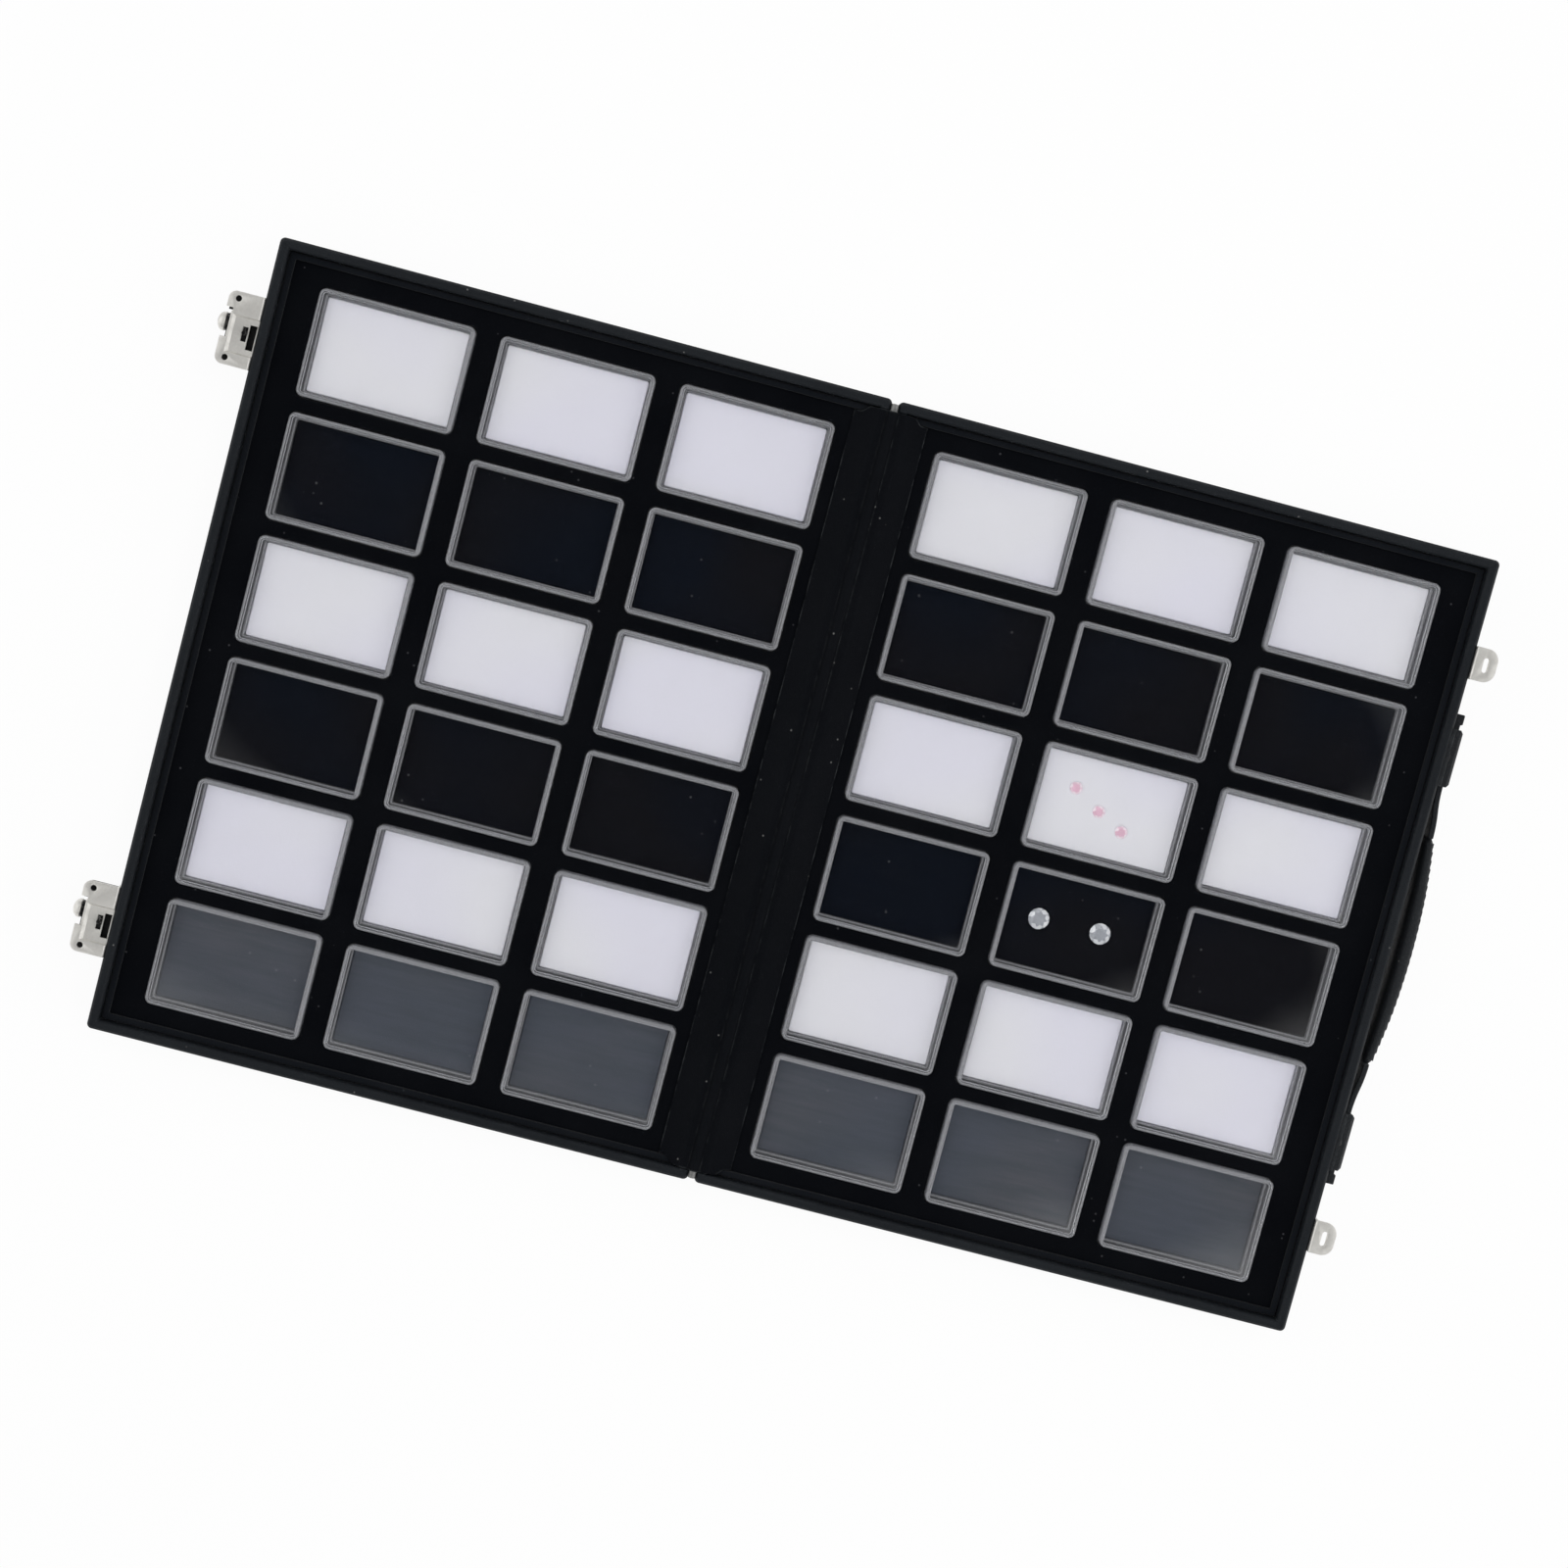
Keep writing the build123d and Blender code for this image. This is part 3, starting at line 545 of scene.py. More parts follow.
def lathe(bm, profile, centre, way, sides=40):
    """Turns a profile of (radius, distance) pairs about X, outwards along way from the centre."""
    rings = []
    for radius, distance in profile:
        ring = []
        for side in range(sides):
            angle = 2 * math.pi * side / sides
            ring.append(Vector((
                centre.x + way * distance,
                centre.y + radius * math.cos(angle),
                centre.z + radius * math.sin(angle),
            )))
        rings.append(ring)
    skin(bm, rings)


# Clear boxes and their pads

box_low, box_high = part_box("pink_gem_box_bottom")
cover_low, cover_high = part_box("pink_gem_box_cover")
pad_low, pad_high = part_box("pink_gem_pad")
box_length, box_width = box_high.x - box_low.x, box_high.y - box_low.y
box_radius = 0.0027
cover_wall = 0.0012
cover_top = 0.0015
upstand_gap = 0.0015
upstand_wall = 0.0009
outer_round = 0.0011
inner_round = 0.0006
lip_round = 0.0003
least_radius = 0.0004


def box_rings(bm, middle, profile, finishes=()):
    """Rings round a box's middle. The profile is of (inset, height) pairs."""
    rings = []
    for inset, height in profile:
        radius = max(box_radius - inset, least_radius)
        flat = outline(box_length - 2 * inset, box_width - 2 * inset, radius)
        rings.append([Vector((middle.x + p.x, middle.y + p.y, height)) for p in flat])
    skin(bm, rings, finishes=finishes)


def add_cover(bm, middle):
    """A cover with an eased top edge, hollow below. Its top is clear and its walls are cloudy."""
    low, high = cover_low.z, cover_high.z
    ceiling = high - cover_top
    profile = [(outer_round - x, high - outer_round + z) for x, z in arc(outer_round, 5, 90, 0)]
    profile += [(0.0, low + lip_round), (lip_round, low), (cover_wall - lip_round, low)]
    profile += [(cover_wall, low + lip_round), (cover_wall, ceiling - inner_round)]
    profile += [
        (cover_wall + inner_round - x, ceiling - inner_round + z) for x, z in arc(inner_round, 4, 0, 90)[1:]
    ]
    box_rings(bm, middle, profile, [1] * (len(profile) - 1))


def add_bottom(bm, middle):
    """A floor with a flange that the cover stands on, and a cloudy upstand inside it."""
    low, high = box_low.z, box_high.z
    flange = cover_low.z
    inner = upstand_gap + upstand_wall
    profile = [(lip_round, low), (0.0, low + lip_round), (0.0, flange - lip_round), (lip_round, flange)]
    profile += [(upstand_gap, flange), (upstand_gap, high - lip_round), (upstand_gap + lip_round, high)]
    profile += [(inner - lip_round, high), (inner, high - lip_round), (inner, flange)]
    box_rings(bm, middle, profile, [0] * 4 + [1] * 5)


pad_round = 0.0006
pad_crown = 0.0004
pad_pull = 0.0001
pad_foot = 0.0005
pad_slip = 0.00005
pad_corner = 0.0011
pad_cuts = (18, 12)
dented_pad_cuts = (84, 56)
dent_share = 1.12
dent_slip = 0.0002
stone_lift = 0.0002
stone_turn = 0.35
stone_turn_step = 0.9


def pad_lines(half, cuts):
    """Places across a pad from edge to edge, close together where its edge is rounded."""
    near = [0.0, 0.12, 0.35, 0.65, 1.0]
    first = [-half + pad_round * share for share in near]
    between = [-half + pad_round + (2 * (half - pad_round)) * i / cuts for i in range(1, cuts)]
    return first + between + [-x for x in reversed(first)]


def add_pad(bm, middle, stones=(), stone_radius=0.0, cuts=pad_cuts):
    """A foam pad pressed in the upstand: crowned, round at its edge and corners, dented by its stones."""
    half_x, half_y = (size / 2 - upstand_gap - upstand_wall - pad_slip for size in (box_length, box_width))
    across, along = pad_lines(half_x, cuts[0]), pad_lines(half_y, cuts[1])
    top = pad_high.z

    def height(x, y):
        inset = min(half_x - abs(x), half_y - abs(y))
        rounding = 0.0
        if inset < pad_round:
            rounding = pad_round - math.sqrt(max(pad_round**2 - (pad_round - inset) ** 2, 0.0))
        crown = pad_crown * (1 - (x / half_x) ** 4) * (1 - (y / half_y) ** 4)
        dent = 0.0
        for stone in stones:
            apart = math.hypot(middle.x + x - stone.x, middle.y + y - stone.y)
            if apart < dent_share * stone_radius:
                dent = max(dent, stone_radius * (dent_share - apart / stone_radius) + dent_slip)
        return top - rounding + crown - dent

    def drawn_in(x, y, share):
        """Draws a place in, most at the middle of each side, and rounds the four corners."""
        past_x = (abs(x) - half_x + pad_corner) / pad_corner
        past_y = (abs(y) - half_y + pad_corner) / pad_corner
        if past_x > 0 and past_y > 0:
            x = math.copysign(half_x - pad_corner * (1 - past_x * math.sqrt(1 - past_y**2 / 2)), x)
            y = math.copysign(half_y - pad_corner * (1 - past_y * math.sqrt(1 - past_x**2 / 2)), y)
        pull = pad_pull * share
        return (
            x * (1 - pull / half_x * (1 - (y / half_y) ** 2)),
            y * (1 - pull / half_y * (1 - (x / half_x) ** 2)),
        )

    grid = []
    for x in across:
        row = []
        for y in along:
            px, py = drawn_in(x, y, 0.6)
            row.append(bm.verts.new((middle.x + px, middle.y + py, height(x, y))))
        grid.append(row)
    for i in range(len(across) - 1):
        for j in range(len(along) - 1):
            bm.faces.new((grid[i][j], grid[i + 1][j], grid[i + 1][j + 1], grid[i][j + 1]))
    last_x, last_y = len(across) - 1, len(along) - 1
    border = [(i, 0) for i in range(last_x)] + [(last_x, j) for j in range(last_y)]
    border += [(i, last_y) for i in range(last_x, 0, -1)] + [(0, j) for j in range(last_y, 0, -1)]
    above = [grid[i][j] for i, j in border]
    # Each level has its share of the height, its share of the pull, and how far in it lies
    levels = ((0.55, 1.0, 0.0), (pad_foot / (top - pad_low.z), 0.4, 0.0), (0.0, 0.4, pad_foot))
    for share, pull, inset in levels:
        below = []
        for i, j in border:
            x, y = drawn_in(across[i], along[j], pull)
            x *= 1 - inset / half_x
            y *= 1 - inset / half_y
            z = pad_low.z + share * (top - pad_round - pad_low.z)
            below.append(bm.verts.new((middle.x + x, middle.y + y, z)))
        for k in range(len(border)):
            m = (k + 1) % len(border)
            bm.faces.new((above[k], above[m], below[m], below[k]))
        above = below
    bm.faces.new(above)


def add_boxes():
    """Every box of both halves, by the nodes that hold them."""
    for group in ("base_box", "lid_box", "pink_gem_box", "clear_gem_box"):
        plural = "s" if group in ("base_box", "lid_box") else ""
        for kind, add in (("bottom", add_bottom), ("cover", add_cover)):
            node = f"{group}_{kind}{plural}"
            bm = bmesh.new()
            for corners in islands(node):
                add(bm, middle_of(corners))
            boxes = stand_in(node, f"clear_{node}", bm, acrylic)
            boxes.data.materials.append(cloudy_acrylic)


def add_plain_pads():
    for half in ("base", "lid"):
        for colour in ("white", "black", "grey"):
            node = f"{half}_{colour}_pads"
            bm = bmesh.new()
            for corners in islands(node):
                add_pad(bm, middle_of(corners))
            pads = stand_in(node, f"{half}_{colour}_foam", bm, foams[colour])


def add_brilliant(bm, middle, radius, turn):
    """A round brilliant: table, star, kite and girdle facets over main and lower girdle facets."""
    # Shares of the radius, from the crown's height to half the girdle's
    crown, table, star, point, low, band = 0.32, 0.56, 0.79, 0.86, 0.26, 0.022

    def ring(share, height, count, offset):
        made = []
        for k in range(count):
            angle = turn + 2 * math.pi * (k + offset) / count
            made.append(bm.verts.new((
                middle.x + radius * share * math.cos(angle),
                middle.y + radius * share * math.sin(angle),
                middle.z + radius * height,
            )))
        return made

    slope = math.cos(math.pi / 8)
    star_height = band + (crown - band) * (1 - star * slope) / (1 - table)
    low_height = -band - (point - band) * (1 - low * slope)
    tops = ring(table, crown, 8, 0.0)
    stars = ring(star, star_height, 8, 0.5)
    upper = ring(1.0, band, 16, 0.0)
    lower = ring(1.0, -band, 16, 0.0)
    mains = ring(low, low_height, 8, 0.5)
    culet = bm.verts.new((middle.x, middle.y, middle.z - radius * point))
    bm.faces.new(tops)
    for k in range(8):
        n = (k + 1) % 8
        girdle = [upper[2 * k], upper[2 * k + 1], upper[(2 * k + 2) % 16]]
        under = [lower[2 * k], lower[2 * k + 1], lower[(2 * k + 2) % 16]]
        bm.faces.new((tops[k], stars[k], tops[n]))
        bm.faces.new((tops[k], stars[k - 1], upper[2 * k], stars[k]))
        bm.faces.new((stars[k], girdle[0], girdle[1]))
        bm.faces.new((stars[k], girdle[1], girdle[2]))
        bm.faces.new((mains[k], under[1], under[0]))
        bm.faces.new((mains[k], under[2], under[1]))
        bm.faces.new((culet, mains[k], lower[2 * k], mains[k - 1]))
        bm.faces.new((girdle[0], under[0], under[1], girdle[1]))
        bm.faces.new((girdle[1], under[1], under[2], girdle[2]))


def add_stones():
    """The two boxes with loose stones, each pressed into a dent of its pad."""
    for colour, foam, material in (("pink", "white", pink_stone), ("clear", "black", clear_stone)):
        gems, node = f"{colour}_gems", f"{colour}_gem_pad"
        found = islands(gems)
        radius = (found[0][1].x - found[0][0].x) / 2
        girdle = pad_high.z + pad_crown + stone_lift
        places = [Vector((*middle_of(corners).xy, girdle)) for corners in found]
        bm = bmesh.new()
        for turn, spot in enumerate(places):
            add_brilliant(bm, spot, radius, stone_turn + stone_turn_step * turn)
        stones = stand_in(gems, f"{colour}_brilliants", bm, material)
        stones.data.set_sharp_from_angle(angle=flat_turn)
        bm = bmesh.new()
        add_pad(bm, middle_of(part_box(node)), places, radius, dented_pad_cuts)
        pad = stand_in(node, f"{colour}_gem_foam", bm, foams[foam])


# Flocked inserts

pocket_slip = 0.00035
flock_round = 0.0008


def add_insert(half):
    """One flocked tray: each pocket has a soft upper edge, walls and a floor."""
    node = f"{half}_insert"
    low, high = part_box(node)
    boxes = [middle_of(corners) for corners in islands(f"{half}_box_bottoms")]
    if half == "base":
        boxes += [middle_of(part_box(f"{colour}_gem_box_bottom")) for colour in ("pink", "clear")]
    across = sorted({round(p.x, 5) for p in boxes})
    along = sorted({round(p.y, 5) for p in boxes})
    x_cuts = [low.x] + [(a + b) / 2 for a, b in zip(across, across[1:])] + [high.x]
    y_cuts = [low.y] + [(a + b) / 2 for a, b in zip(along, along[1:])] + [high.y]
    length, width = box_length + 2 * pocket_slip, box_width + 2 * pocket_slip
    bm = bmesh.new()
    for column, x in enumerate(across):
        for row, y in enumerate(along):
            corners = [
                (x_cuts[column + 1], y_cuts[row + 1]), (x_cuts[column], y_cuts[row + 1]),
                (x_cuts[column], y_cuts[row]), (x_cuts[column + 1], y_cuts[row]),
            ]
            rounding = [(flock_round - a, b - flock_round) for a, b in arc(flock_round, 5, 90, 0)]
            levels = [(inset, high.z + drop) for inset, drop in rounding] + [(0.0, box_low.z)]
            rings = []
            for outset, height in levels:
                flat = outline(length + 2 * outset, width + 2 * outset, box_radius + pocket_slip + outset)
                rings.append([Vector((x + p.x, y + p.y, height)) for p in flat])
            rows = skin(bm, rings, capped=False)
            bm.faces.new(rows[-1])
            posts = [bm.verts.new((*corner, high.z)) for corner in corners]
            top = rows[0]
            count = corner_cuts + 1
            for quarter in range(4):
                bend = top[quarter * count:(quarter + 1) * count]
                for a, b in zip(bend, bend[1:]):
                    bm.faces.new((posts[quarter], b, a))
                following = top[((quarter + 1) * count) % len(top)]
                bm.faces.new((posts[quarter], posts[(quarter + 1) % 4], following, bend[-1]))
    bmesh.ops.remove_doubles(bm, verts=bm.verts, dist=join_reach)
    rim = [edge for edge in bm.edges if edge.is_boundary]
    hung = bmesh.ops.extrude_edge_only(bm, edges=rim)["geom"]
    for part in hung:
        if isinstance(part, bmesh.types.BMVert):
            part.co.z = low.z
    stand_in(node, f"{half}_flocked_tray", bm, velvet)


# Walls, panels, linings and metalwork keep the forms of their nodes, with their edges eased

rim_ease = 0.0004
panel_ease = 0.0005
lining_ease = 0.0007
knuckle_ease = 0.00008
pin_ease = 0.0002
plate_ease = 0.00018
slide_ease = 0.00012
tab_ease = 0.00022
keeper_ease = 0.0003
spring_ease = 0.00006
pan_ease = 0.0001
strap_ease = 0.0006


def add_eased(node, name, material, width, segments=3):
    return stand_in(node, name, ease_edges(welded(node), width, segments), material)


seam_half = 0.0004
seam_depth = 0.00022
seam_reach = 0.006
rim_depth = 0.0012


def press_seams(bm, low, high, free_way):
    """Presses a groove along the mitre of each corner of the rim that is away from the hinge."""
    free = high.x if free_way > 0 else low.x
    for way in (-1, 1):
        corner = Vector((free, high.y if way > 0 else low.y, high.z))
        inward = Vector((-free_way, -way, 0.0)).normalized()
        across = Vector((-inward.y, inward.x, 0.0))
        for offset in (-seam_half, 0.0, seam_half):
            near = [
                face for face in bm.faces
                if any((vert.co - corner).length < seam_reach for vert in face.verts)
                or (face.calc_center_median() - corner).length < seam_reach
            ]
            parts = near + list({e for f in near for e in f.edges}) + list({v for f in near for v in f.verts})
            bmesh.ops.bisect_plane(
                bm, geom=parts, dist=join_reach, plane_co=corner + across * offset, plane_no=across
            )
        for vert in bm.verts:
            from_corner = vert.co - corner
            if from_corner.length < seam_reach and abs(from_corner.dot(across)) < seam_half / 4:
                if vert.co.z > high.z - rim_depth:
                    vert.co.z -= seam_depth


def add_walls(half, free_way):
    node = f"{half}_wall_frame"
    low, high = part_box(node)
    bm = ease_edges(welded(node), rim_ease)
    press_seams(bm, low, high, free_way)
    stand_in(node, f"{half}_leathered_walls", bm, leatherette)


def add_shells():
    for half, free_way in (("base", 1), ("lid", -1)):
        add_walls(half, free_way)
        add_insert(half)
        add_eased(f"{half}_lining", f"{half}_flocked_lining", lining_velvet, lining_ease)
    add_eased("base_bottom_panel", "base_leathered_panel", leatherette, panel_ease)
    add_eased("lid_top_panel", "lid_leathered_panel", leatherette, panel_ease)


pan_gap = 0.0003
pan_sheet = 0.0004
pan_setback = 0.0004
pan_corner = 0.0022
pan_play = 0.0012
plate_leg = 0.0009
slide_sheet = 0.0008


def travel_of(joint):
    """The upper end of a sliding joint's range, in metres."""
    joints = frame["record"]["behaviour"]["joints"]
    return next(made["range_m"][1] for made in joints if made["name"] == joint)


def add_shade_pan(side):
    """A thin blackened sheet under a latch's keep, cut back round the way that the button travels. It is
    painted shade: a dark sheet where the holes and cuts of the plate show only shade.
    """
    plate_low, plate_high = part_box(f"{side}_latch_plate")
    button_low, button_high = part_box(f"{side}_latch_button")
    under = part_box(f"{side}_latch_keep")[0].z - pan_gap
    front, wall = plate_low.x + pan_setback, plate_high.x - plate_leg
    behind_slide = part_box(f"{side}_latch_slide")[0].x + slide_sheet + pan_play
    near, far = plate_low.y + pan_setback, plate_high.y - pan_setback
    cut_near = button_low.y - travel_of(f"{side}_latch_release") - pan_play
    cut_far = button_high.y + pan_play
    bend = [(pan_corner * (1 - c), pan_corner * (1 - s)) for c, s in arc(1.0, 5, 0, 90)]
    line = [(wall, far)] + [(front + a, far - b) for a, b in reversed(bend)]
    line += [(front, cut_far), (behind_slide, cut_far), (behind_slide, cut_near), (front, cut_near)]
    line += [(front + a, near + b) for a, b in bend] + [(wall, near)]
    bm = bmesh.new()
    skin(bm, [[Vector((x, y, height)) for x, y in line] for height in (under - pan_sheet, under)])
    ease_edges(bm, pan_ease, 2)
    add_piece(f"{side}_latch_shade_pan", bm, blackened_steel, "lid")


def add_spring(side):
    """A leaf spring with a mesh of its own, left in its rest shape, though the slide presses it shorter along
    the wall as its button is pushed.
    """
    node, release = f"{side}_latch_spring", f"{side}_latch_release"
    spring = add_eased(node, f"{side}_leaf_spring", spring_steel, spring_ease, 2)
    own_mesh(spring)


def add_metalwork():
    for half in ("base", "lid"):
        add_eased(f"{half}_hinge_leaf", f"{half}_leaf_and_knuckles", hinge_steel, knuckle_ease, 2)
    add_eased("hinge_pin", "hinge_rod", hinge_steel, pin_ease)
    for side in ("left", "right"):
        add_eased(f"{side}_latch_plate", f"{side}_pressed_plate", nickel, plate_ease)
        add_eased(f"{side}_latch_slide", f"{side}_hooked_slide", blackened_steel, slide_ease)
        add_eased(f"{side}_latch_keep", f"{side}_slide_keep", blackened_steel, slide_ease)
        add_shade_pan(side)
        add_spring(side)
        add_eased(f"{side}_catch_tab", f"{side}_slotted_tab", nickel, tab_ease)
        add_eased(f"{side}_strap_keeper", f"{side}_pressed_keeper", strap_leather, keeper_ease)


head_heights = {"screw": 0.0012, "rivet": 0.0008, "nail": 0.0003}
shank_taper = 0.0003
dome_turns = (0.0, 0.35, 0.7, 1.05, 1.35)


def add_fasteners(node, kind, way, material):
    """Round domed heads on round shanks, in the places of a node's solids."""
    head = head_heights[kind]
    rim_share = 0.25 if kind == "screw" else 0.12
    bm = bmesh.new()
    for low, high in islands(node):
        centre = middle_of((low, high))
        centre.x = low.x if way > 0 else high.x
        length = high.x - low.x
        radius = (high.y - low.y) / 2
        rim, under = rim_share * radius, length - head
        profile = [(0.45 * radius, 0.0), (0.5 * radius, shank_taper), (0.5 * radius, under), (radius, under)]
        profile += [(radius * math.cos(a), under + rim + (head - rim) * math.sin(a)) for a in dome_turns]
        profile += [(0.02 * radius, length)]
        lathe(bm, profile, centre, way)
    piece = stand_in(node, f"{node}_round", bm, material)
    if kind == "screw":
        cut_slots(piece, node, way)


slot_width = 0.0006
slot_depth = 0.0005
slot_reach_share = 0.3
slot_turn = 0.4
slot_turn_step = 1.1


def cut_slots(piece, node, way):
    """Cuts a cross recess in each screw head."""
    bm = bmesh.new()
    for turn, (low, high) in enumerate(islands(node)):
        centre = middle_of((low, high))
        centre.x = high.x if way > 0 else low.x
        reach = slot_reach_share * (high.y - low.y)
        for quarter in (0, 1):
            made = bmesh.ops.create_cube(bm, size=1.0)["verts"]
            bmesh.ops.scale(bm, verts=made, vec=(2 * slot_depth, 2 * reach, slot_width))
            lean = Matrix.Rotation(slot_turn + slot_turn_step * turn + quarter * math.pi / 2, 3, "X")
            bmesh.ops.rotate(bm, verts=made, matrix=lean)
            bmesh.ops.translate(bm, verts=made, vec=centre)
    cutter = add_object("recess", bm)
    cut = piece.modifiers.new("recess", "BOOLEAN")
    cut.object = cutter
    cut.operation = "DIFFERENCE"
    cut.use_self = True
    bpy.context.view_layer.update()
    evaluated = piece.evaluated_get(bpy.context.evaluated_depsgraph_get())
    result = bpy.data.meshes.new_from_object(evaluated)
    piece.modifiers.clear()
    piece.data = result
    bpy.data.objects.remove(cutter)


button_depth = 0.0033
button_edge = 0.0003
button_band = 0.0008
dome_rise = 0.0025
shank_edge = 0.0002
shank_head = 0.0005
collar_gap = 0.00003
collar_shoulder = 0.00013
button_sides = 48


def turn_button(profile, radius, centre):
    """Turns a profile of (share of the radius, distance) pairs about X, outwards from the centre."""
    bm = bmesh.new()
    lathe(bm, [(share * radius, distance) for share, distance in profile], centre, -1, button_sides)
    return bm


def add_buttons():
    """Domed buttons that stand out from the lid's wall, each with a dark collar up to its slide. The collar
    is painted shade for the shadowed gap between the dome and the plate.
    """
    for side in ("left", "right"):
        node = f"{side}_latch_button"
        low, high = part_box(node)
        radius = (high.y - low.y) / 2
        centre = middle_of((low, high))
        centre.x = high.x
        start = high.x - low.x - button_depth
        rim = start + button_band
        profile = [(0.3, 0.0), (0.38, shank_edge), (0.38, shank_head), (0.3, shank_head)]
        profile += [(0.3, start), (0.93, start), (1.0, start + button_edge), (1.0, rim)]
        profile += [(x, rim + dome_rise * z) for x, z in arc(1.0, 10, 6, 88)]
        stand_in(node, f"{side}_domed_button", turn_button(profile, radius, centre), nickel)
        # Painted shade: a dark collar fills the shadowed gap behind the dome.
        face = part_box(f"{side}_latch_slide")[0].x
        deep = face - (high.x - start)
        near = [(0.32, collar_gap), (0.86, collar_gap), (0.92, collar_shoulder)]
        far = [(share, deep - distance) for share, distance in reversed(near)]
        bm = turn_button(near + far, radius, Vector((face, centre.y, centre.z)))
        add_piece(f"{side}_button_shade_collar", bm, blackened_steel, body_of(node))


# Handle

# Places along a stitch as shares of its length, each with its share of the thickness
stitch_profile = ((-0.5, 0.35), (-0.4, 0.85), (-0.15, 1.0), (0.15, 1.0), (0.4, 0.85), (0.5, 0.35))


def add_stitches(bm, spots, length, thickness, way):
    """A row of short sewn stitches, each a small capsule, at the places given with their directions."""
    for spot, along in spots:
        side = along.cross(way).normalized()
        rings = []
        for share, swell in stitch_profile:
            middle = spot + along * (share * length)
            ring = []
            for k in range(8):
                angle = math.pi * k / 4
                lift = way * (math.cos(angle) * thickness / 2) + side * (math.sin(angle) * thickness / 2)
                ring.append(middle + lift * swell)
            rings.append(ring)
        skin(bm, rings)


grip_hollow = 0.0014
grip_bow = 0.0038
end_height_share = 0.84
even_share = 0.45
grip_power = 2.6
grip_cap = 0.0022
stitch_pitch = 0.0033
stitches_each_way = 13
stitch_length = 0.0024
thread_thickness = 0.0005
stitch_turn = math.radians(52)


def grip_section(along, low, high, half):
    """The grip's middle, half depth and half height at a place along it."""
    share = along / half
    bow = 1 - share * share
    near = low.x + grip_hollow * bow
    far = high.x - grip_bow * (1 - bow)
    tall = (high.z - low.z) / 2
    end_tall = end_height_share * tall
    reach = max(0.0, (abs(share) - even_share) / (1 - even_share))
    return (far + near) / 2, (far - near) / 2, tall - (tall - end_tall) * reach * reach * (3 - 2 * reach)


def add_grip():
    """The padded middle of the handle: rounded, bowed away from the wall and sewn along both edges."""
    node = "handle_grip"
    low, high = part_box(node)
    half = (high.y - low.y) / 2
    centre_z = (low.z + high.z) / 2
    stations, sides = 48, 40
    bm = bmesh.new()
    rings = []
    for station in range(stations + 1):
        along = -half + 2 * half * station / stations
        from_end = half - abs(along)
        close = 1.0
        if from_end < grip_cap:
            close = 0.72 + 0.28 * math.sqrt(max(0.0, 1 - (1 - from_end / grip_cap) ** 2))
        middle, deep, tall = grip_section(along, low, high, half)
        ring = []
        for side in range(sides):
            angle = 2 * math.pi * side / sides
            c, s = math.cos(angle), math.sin(angle)
            dx = math.copysign(abs(c) ** (2 / grip_power), c) * deep * close
            dz = math.copysign(abs(s) ** (2 / grip_power), s) * tall * close
            ring.append(Vector((middle + dx, along, centre_z + dz)))
        rings.append(ring)
    skin(bm, rings)
    grip = stand_in(node, "padded_grip", bm, strap_leather)
    bm = bmesh.new()
    for way in (-1, 1):
        spots = []
        for step in range(-stitches_each_way, stitches_each_way + 1):
            along = step * stitch_pitch
            middle, deep, tall = grip_section(along, low, high, half)
            dx = math.cos(stitch_turn) ** (2 / grip_power) * deep
            dz = math.sin(stitch_turn) ** (2 / grip_power) * tall
            spots.append((Vector((middle + dx, along, centre_z + way * dz)), Vector((0, 1, 0))))
        outward = Vector((1, 0, 0.6 * way)).normalized()
        add_stitches(bm, spots, stitch_length, thread_thickness, outward)
    add_piece("grip_stitches", bm, thread, "handle")


strap_cuts = 16


def add_straps():
    """Straps that stay in their keepers and bend across to the grip, so that they follow it out."""
    for side in ("left", "right"):
        node = f"{side}_strap_end"
        low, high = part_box(node)
        keeper_low, keeper_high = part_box(f"{side}_strap_keeper")
        held, pulled = (keeper_high.y, high.y) if side == "left" else (keeper_low.y, low.y)
        middle = middle_of((low, high))
        bm = ease_edges(welded(node), strap_ease)
        for cut in range(strap_cuts):
            spot = Vector((middle.x, held + (pulled - held) * cut / strap_cuts, middle.z))
            parts = list(bm.verts) + list(bm.edges) + list(bm.faces)
            bmesh.ops.bisect_plane(bm, geom=parts, dist=join_reach, plane_co=spot, plane_no=(0.0, 1.0, 0.0))
        strap = add_piece(f"{side}_strap", bm, strap_leather, None, [node])
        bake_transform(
            strap, "base", "handle", start=(middle.x, held, middle.z), end=(middle.x, pulled, middle.z)
        )


# Soft strip over the hinge

lining_seat = 0.0115
seat_taper = 0.0025
strip_sheet = 0.00055
strip_gap = 0.0003
strip_knee = 0.0056
spine_step = 0.001
flat_rise = 0.0006
end_rise = 0.0009
bow_foot = 0.0002
foot_rise = 0.0001
crease_depth = 0.00016
strip_rows = 150


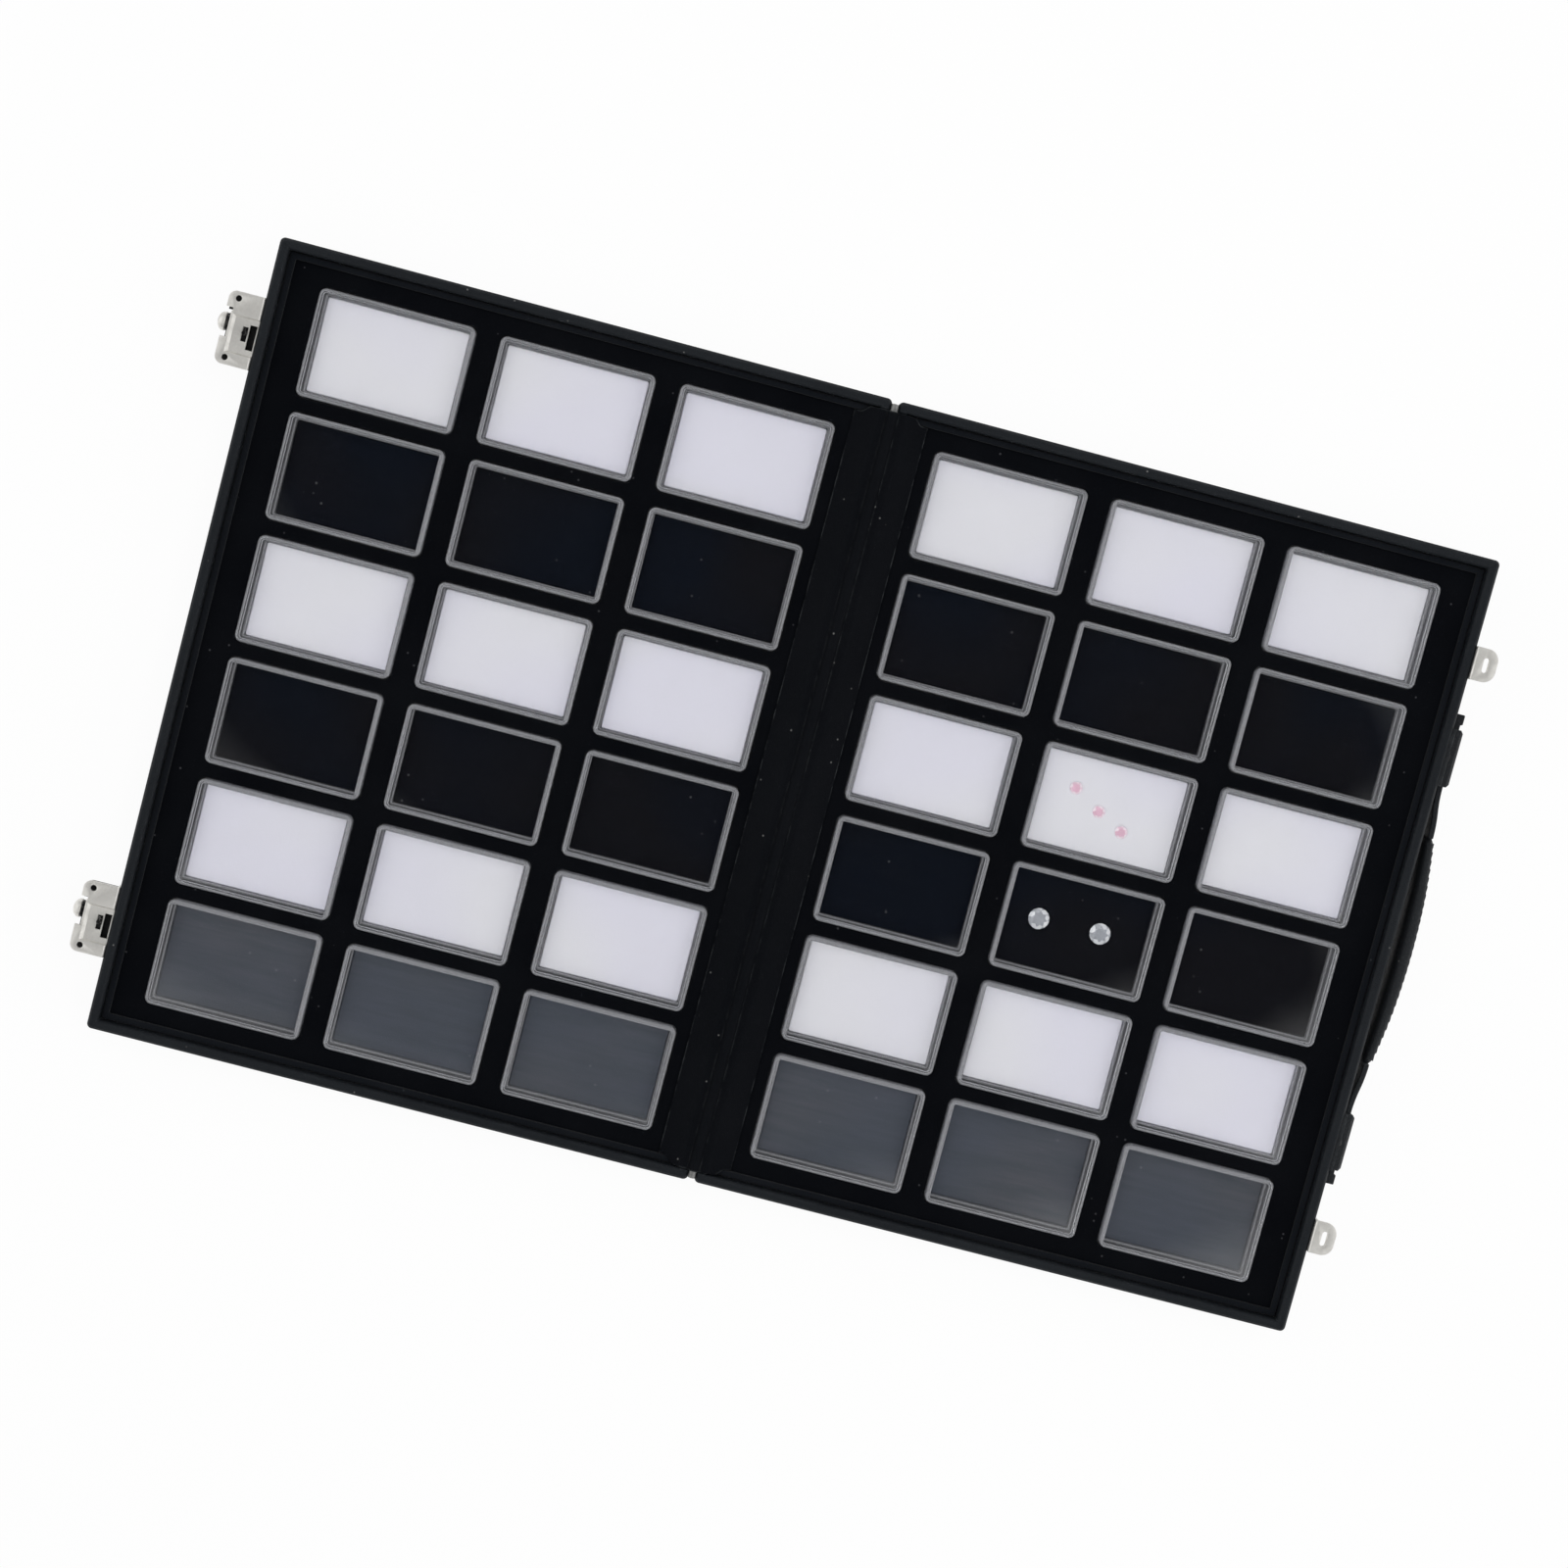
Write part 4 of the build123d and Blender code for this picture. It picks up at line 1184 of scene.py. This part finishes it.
def add_spine_strip():
    """A thin leather strip from tray to tray, bowed over the knuckles, with fine creases along it."""
    low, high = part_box("spine_strip")
    tray_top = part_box("base_insert")[1].z
    middle = (low.x + high.x) / 2
    pin_low, pin_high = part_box("hinge_pin")
    axis_z = (pin_low.z + pin_high.z) / 2
    bow_outer = high.z - axis_z
    reach = (high.x - low.x) / 2
    end_top = tray_top + end_rise
    flat_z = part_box("base_wall_frame")[1].z - spine_step + strip_gap + flat_rise
    bow_cuts, flat_cuts, slope_cuts = 8, 4, 10
    turns = [math.pi / 2 * k / bow_cuts for k in range(bow_cuts, -1, -1)]
    half_line = [(bow_outer * math.cos(turn), axis_z + bow_outer * math.sin(turn)) for turn in turns]
    half_line += [(bow_outer + bow_foot, flat_z + foot_rise)]
    for k in range(1, flat_cuts + 1):
        half_line.append((bow_outer + (strip_knee - bow_outer) * k / flat_cuts, flat_z))
    for k in range(1, slope_cuts + 1):
        share = k / slope_cuts
        half_line.append((strip_knee + (reach - strip_knee) * share, flat_z + (end_top - flat_z) * share))
    line = [(-x, z) for x, z in reversed(half_line)] + half_line[1:]
    rows, length = strip_rows, high.y - low.y
    seat_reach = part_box("base_lining")[1].y - high.y - strip_gap

    def half_length(x):
        """Half the strip's length at a place across it, which is greater where it lies over the linings."""
        return length / 2 + seat_reach * min(1.0, max(0.0, (lining_seat - abs(x)) / seat_taper))

    bm = bmesh.new()
    layers = []
    for under in (0.0, strip_sheet):
        layer = []
        for row in range(rows + 1):
            points = []
            for index, (x, z) in enumerate(line):
                y = (2 * row / rows - 1) * half_length(x)
                before, after = line[max(index - 1, 0)], line[min(index + 1, len(line) - 1)]
                tangent = Vector((after[0] - before[0], 0.0, after[1] - before[1])).normalized()
                normal = Vector((-tangent.z, 0.0, tangent.x))
                crease = noise.noise(Vector((x * 420.0, y * 9.0, 3.0)))
                crease += 0.5 * noise.noise(Vector((x * 900.0, y * 22.0, 7.0)))
                lift = -crease_depth * abs(crease)
                point = Vector((middle + x, y, z)) + normal * (lift * (0.4 if under else 1.0) - under)
                points.append(bm.verts.new(point))
            layer.append(points)
        layers.append(layer)
    top, bottom = layers
    for row in range(rows):
        for k in range(len(line) - 1):
            bm.faces.new((top[row][k], top[row][k + 1], top[row + 1][k + 1], top[row + 1][k]))
            bm.faces.new((bottom[row][k], bottom[row + 1][k], bottom[row + 1][k + 1], bottom[row][k + 1]))
        for k in (0, len(line) - 1):
            bm.faces.new((top[row][k], top[row + 1][k], bottom[row + 1][k], bottom[row][k]))
    for row in (0, rows):
        for k in range(len(line) - 1):
            bm.faces.new((top[row][k], bottom[row][k], bottom[row][k + 1], top[row][k + 1]))
    strip = add_piece("creased_spine_strip", bm, strip_leather, None, ["spine_strip"], 60.0)
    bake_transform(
        strip, "base", "lid", start=(middle + bow_outer, 0.0, axis_z), end=(middle - bow_outer, 0.0, axis_z)
    )


add_shells()
add_boxes()
add_plain_pads()
add_stones()
add_metalwork()
add_fasteners("base_hinge_nails", "nail", -1, nickel)
add_fasteners("lid_hinge_nails", "nail", 1, nickel)
add_fasteners("catch_screws", "screw", 1, nickel)
add_fasteners("latch_screws", "screw", -1, nickel)
add_fasteners("keeper_rivets", "rivet", 1, blackened_steel)
add_buttons()
add_grip()
add_straps()
add_spine_strip()

# Floor, light and camera

table_size = 6.0
shown_share = 0.94
lamp_distance = 2.0
camera_place = (-0.1720, 0.0887, 1.1487)


def add_floor():
    """A white table that shows white to the camera and in reflections, and keeps the case's shadow."""
    bm = bmesh.new()
    bmesh.ops.create_grid(bm, x_segments=1, y_segments=1, size=table_size / 2)
    floor = add_object("table_top", bm)
    material, tree, surface = new_material("white_table", Base_Color=(0.86, 0.86, 0.86, 1.0), Roughness=0.9)
    path = place(tree, "ShaderNodeLightPath").outputs
    seen = maths(tree, "MAXIMUM", path["Is Camera Ray"], path["Is Glossy Ray"])
    seen = maths(tree, "MAXIMUM", seen, path["Is Transmission Ray"])
    white = place(tree, "ShaderNodeEmission", {"Strength": 1.0}).outputs[0]
    share = maths(tree, "MULTIPLY", seen, shown_share)
    both = place(tree, "ShaderNodeMixShader", {0: share, 1: surface.outputs[0], 2: white})
    tree.links.new(both.outputs[0], tree.nodes["Material Output"].inputs["Surface"])
    floor.data.materials.append(material)


def light_room():
    """A pale room with a dark patch of ceiling right above the case, so that flat acrylic stays clear."""
    world = bpy.data.worlds.new("pale_room")
    bpy.context.scene.world = world
    world.use_nodes = True
    tree = world.node_tree
    background = tree.nodes["Background"]
    direction = place(tree, "ShaderNodeTexCoord").outputs["Generated"]
    parts = place(tree, "ShaderNodeSeparateXYZ", {0: direction}).outputs
    walls = ramp(tree, parts["Z"], 0.95, 0.88, 0.01, 1.0)
    path = place(tree, "ShaderNodeLightPath").outputs
    shown = maths(tree, "MAXIMUM", path["Is Glossy Ray"], path["Is Transmission Ray"])
    along = maths(tree, "ABSOLUTE", parts["Y"])
    level = ramp(tree, shown, 0.0, 1.0, 0.55, 1.0)
    level = maths(tree, "MULTIPLY", level, ramp(tree, along, 0.35, 0.75, 1.1, 0.45))
    strength = maths(tree, "MAXIMUM", maths(tree, "MULTIPLY", walls, level), path["Is Camera Ray"])
    background.inputs["Color"].default_value = (1.0, 1.0, 1.0, 1.0)
    tree.links.new(strength, background.inputs["Strength"])


def add_lamp(name, towards, size, power):
    """A soft lamp that lights the case but doesn't mirror in its covers."""
    lamp = bpy.data.lights.new(name, "AREA")
    lamp.shape = "DISK"
    lamp.size = size
    lamp.energy = power
    lamp.cycles.use_multiple_importance_sampling = False
    holder = bpy.data.objects.new(name, lamp)
    bpy.context.scene.collection.objects.link(holder)
    away = Vector(towards).normalized()
    holder.location = away * lamp_distance
    holder.rotation_mode = "QUATERNION"
    holder.rotation_quaternion = away.to_track_quat("Z", "Y")
    holder.visible_glossy = False
    holder.visible_transmission = False


def add_camera():
    """The photograph's view: nearly straight down, turned about the line of sight."""
    look = Vector((0.0419, -0.0758, -0.9962)).normalized()
    up = Vector((-0.2521, 0.9640, -0.0840))
    right = look.cross(up).normalized()
    up = right.cross(look)
    lens = bpy.data.cameras.new("overhead")
    lens.lens = 67.5
    lens.sensor_width = 36.0
    lens.clip_start = 0.01
    camera = bpy.data.objects.new("overhead", lens)
    bpy.context.scene.collection.objects.link(camera)
    turned = Matrix((right, up, -look)).transposed().to_4x4()
    camera.matrix_world = Matrix.Translation(camera_place) @ turned
    bpy.context.scene.camera = camera


add_floor()
light_room()
for name, towards, size, power in (
    ("above", (0.1, 0.15, 1.0), 1.2, 17.0),
    ("left", (-1.0, 0.25, 0.75), 1.3, 7.0),
    ("right", (1.0, -0.1, 0.75), 1.3, 6.5),
    ("far", (0.15, 1.0, 1.0), 0.8, 2.0),
    ("near", (-0.15, -1.0, 1.0), 0.8, 1.5),
):
    add_lamp(name, towards, size, power)
add_camera()
bpy.context.scene.view_settings.view_transform = "Standard"
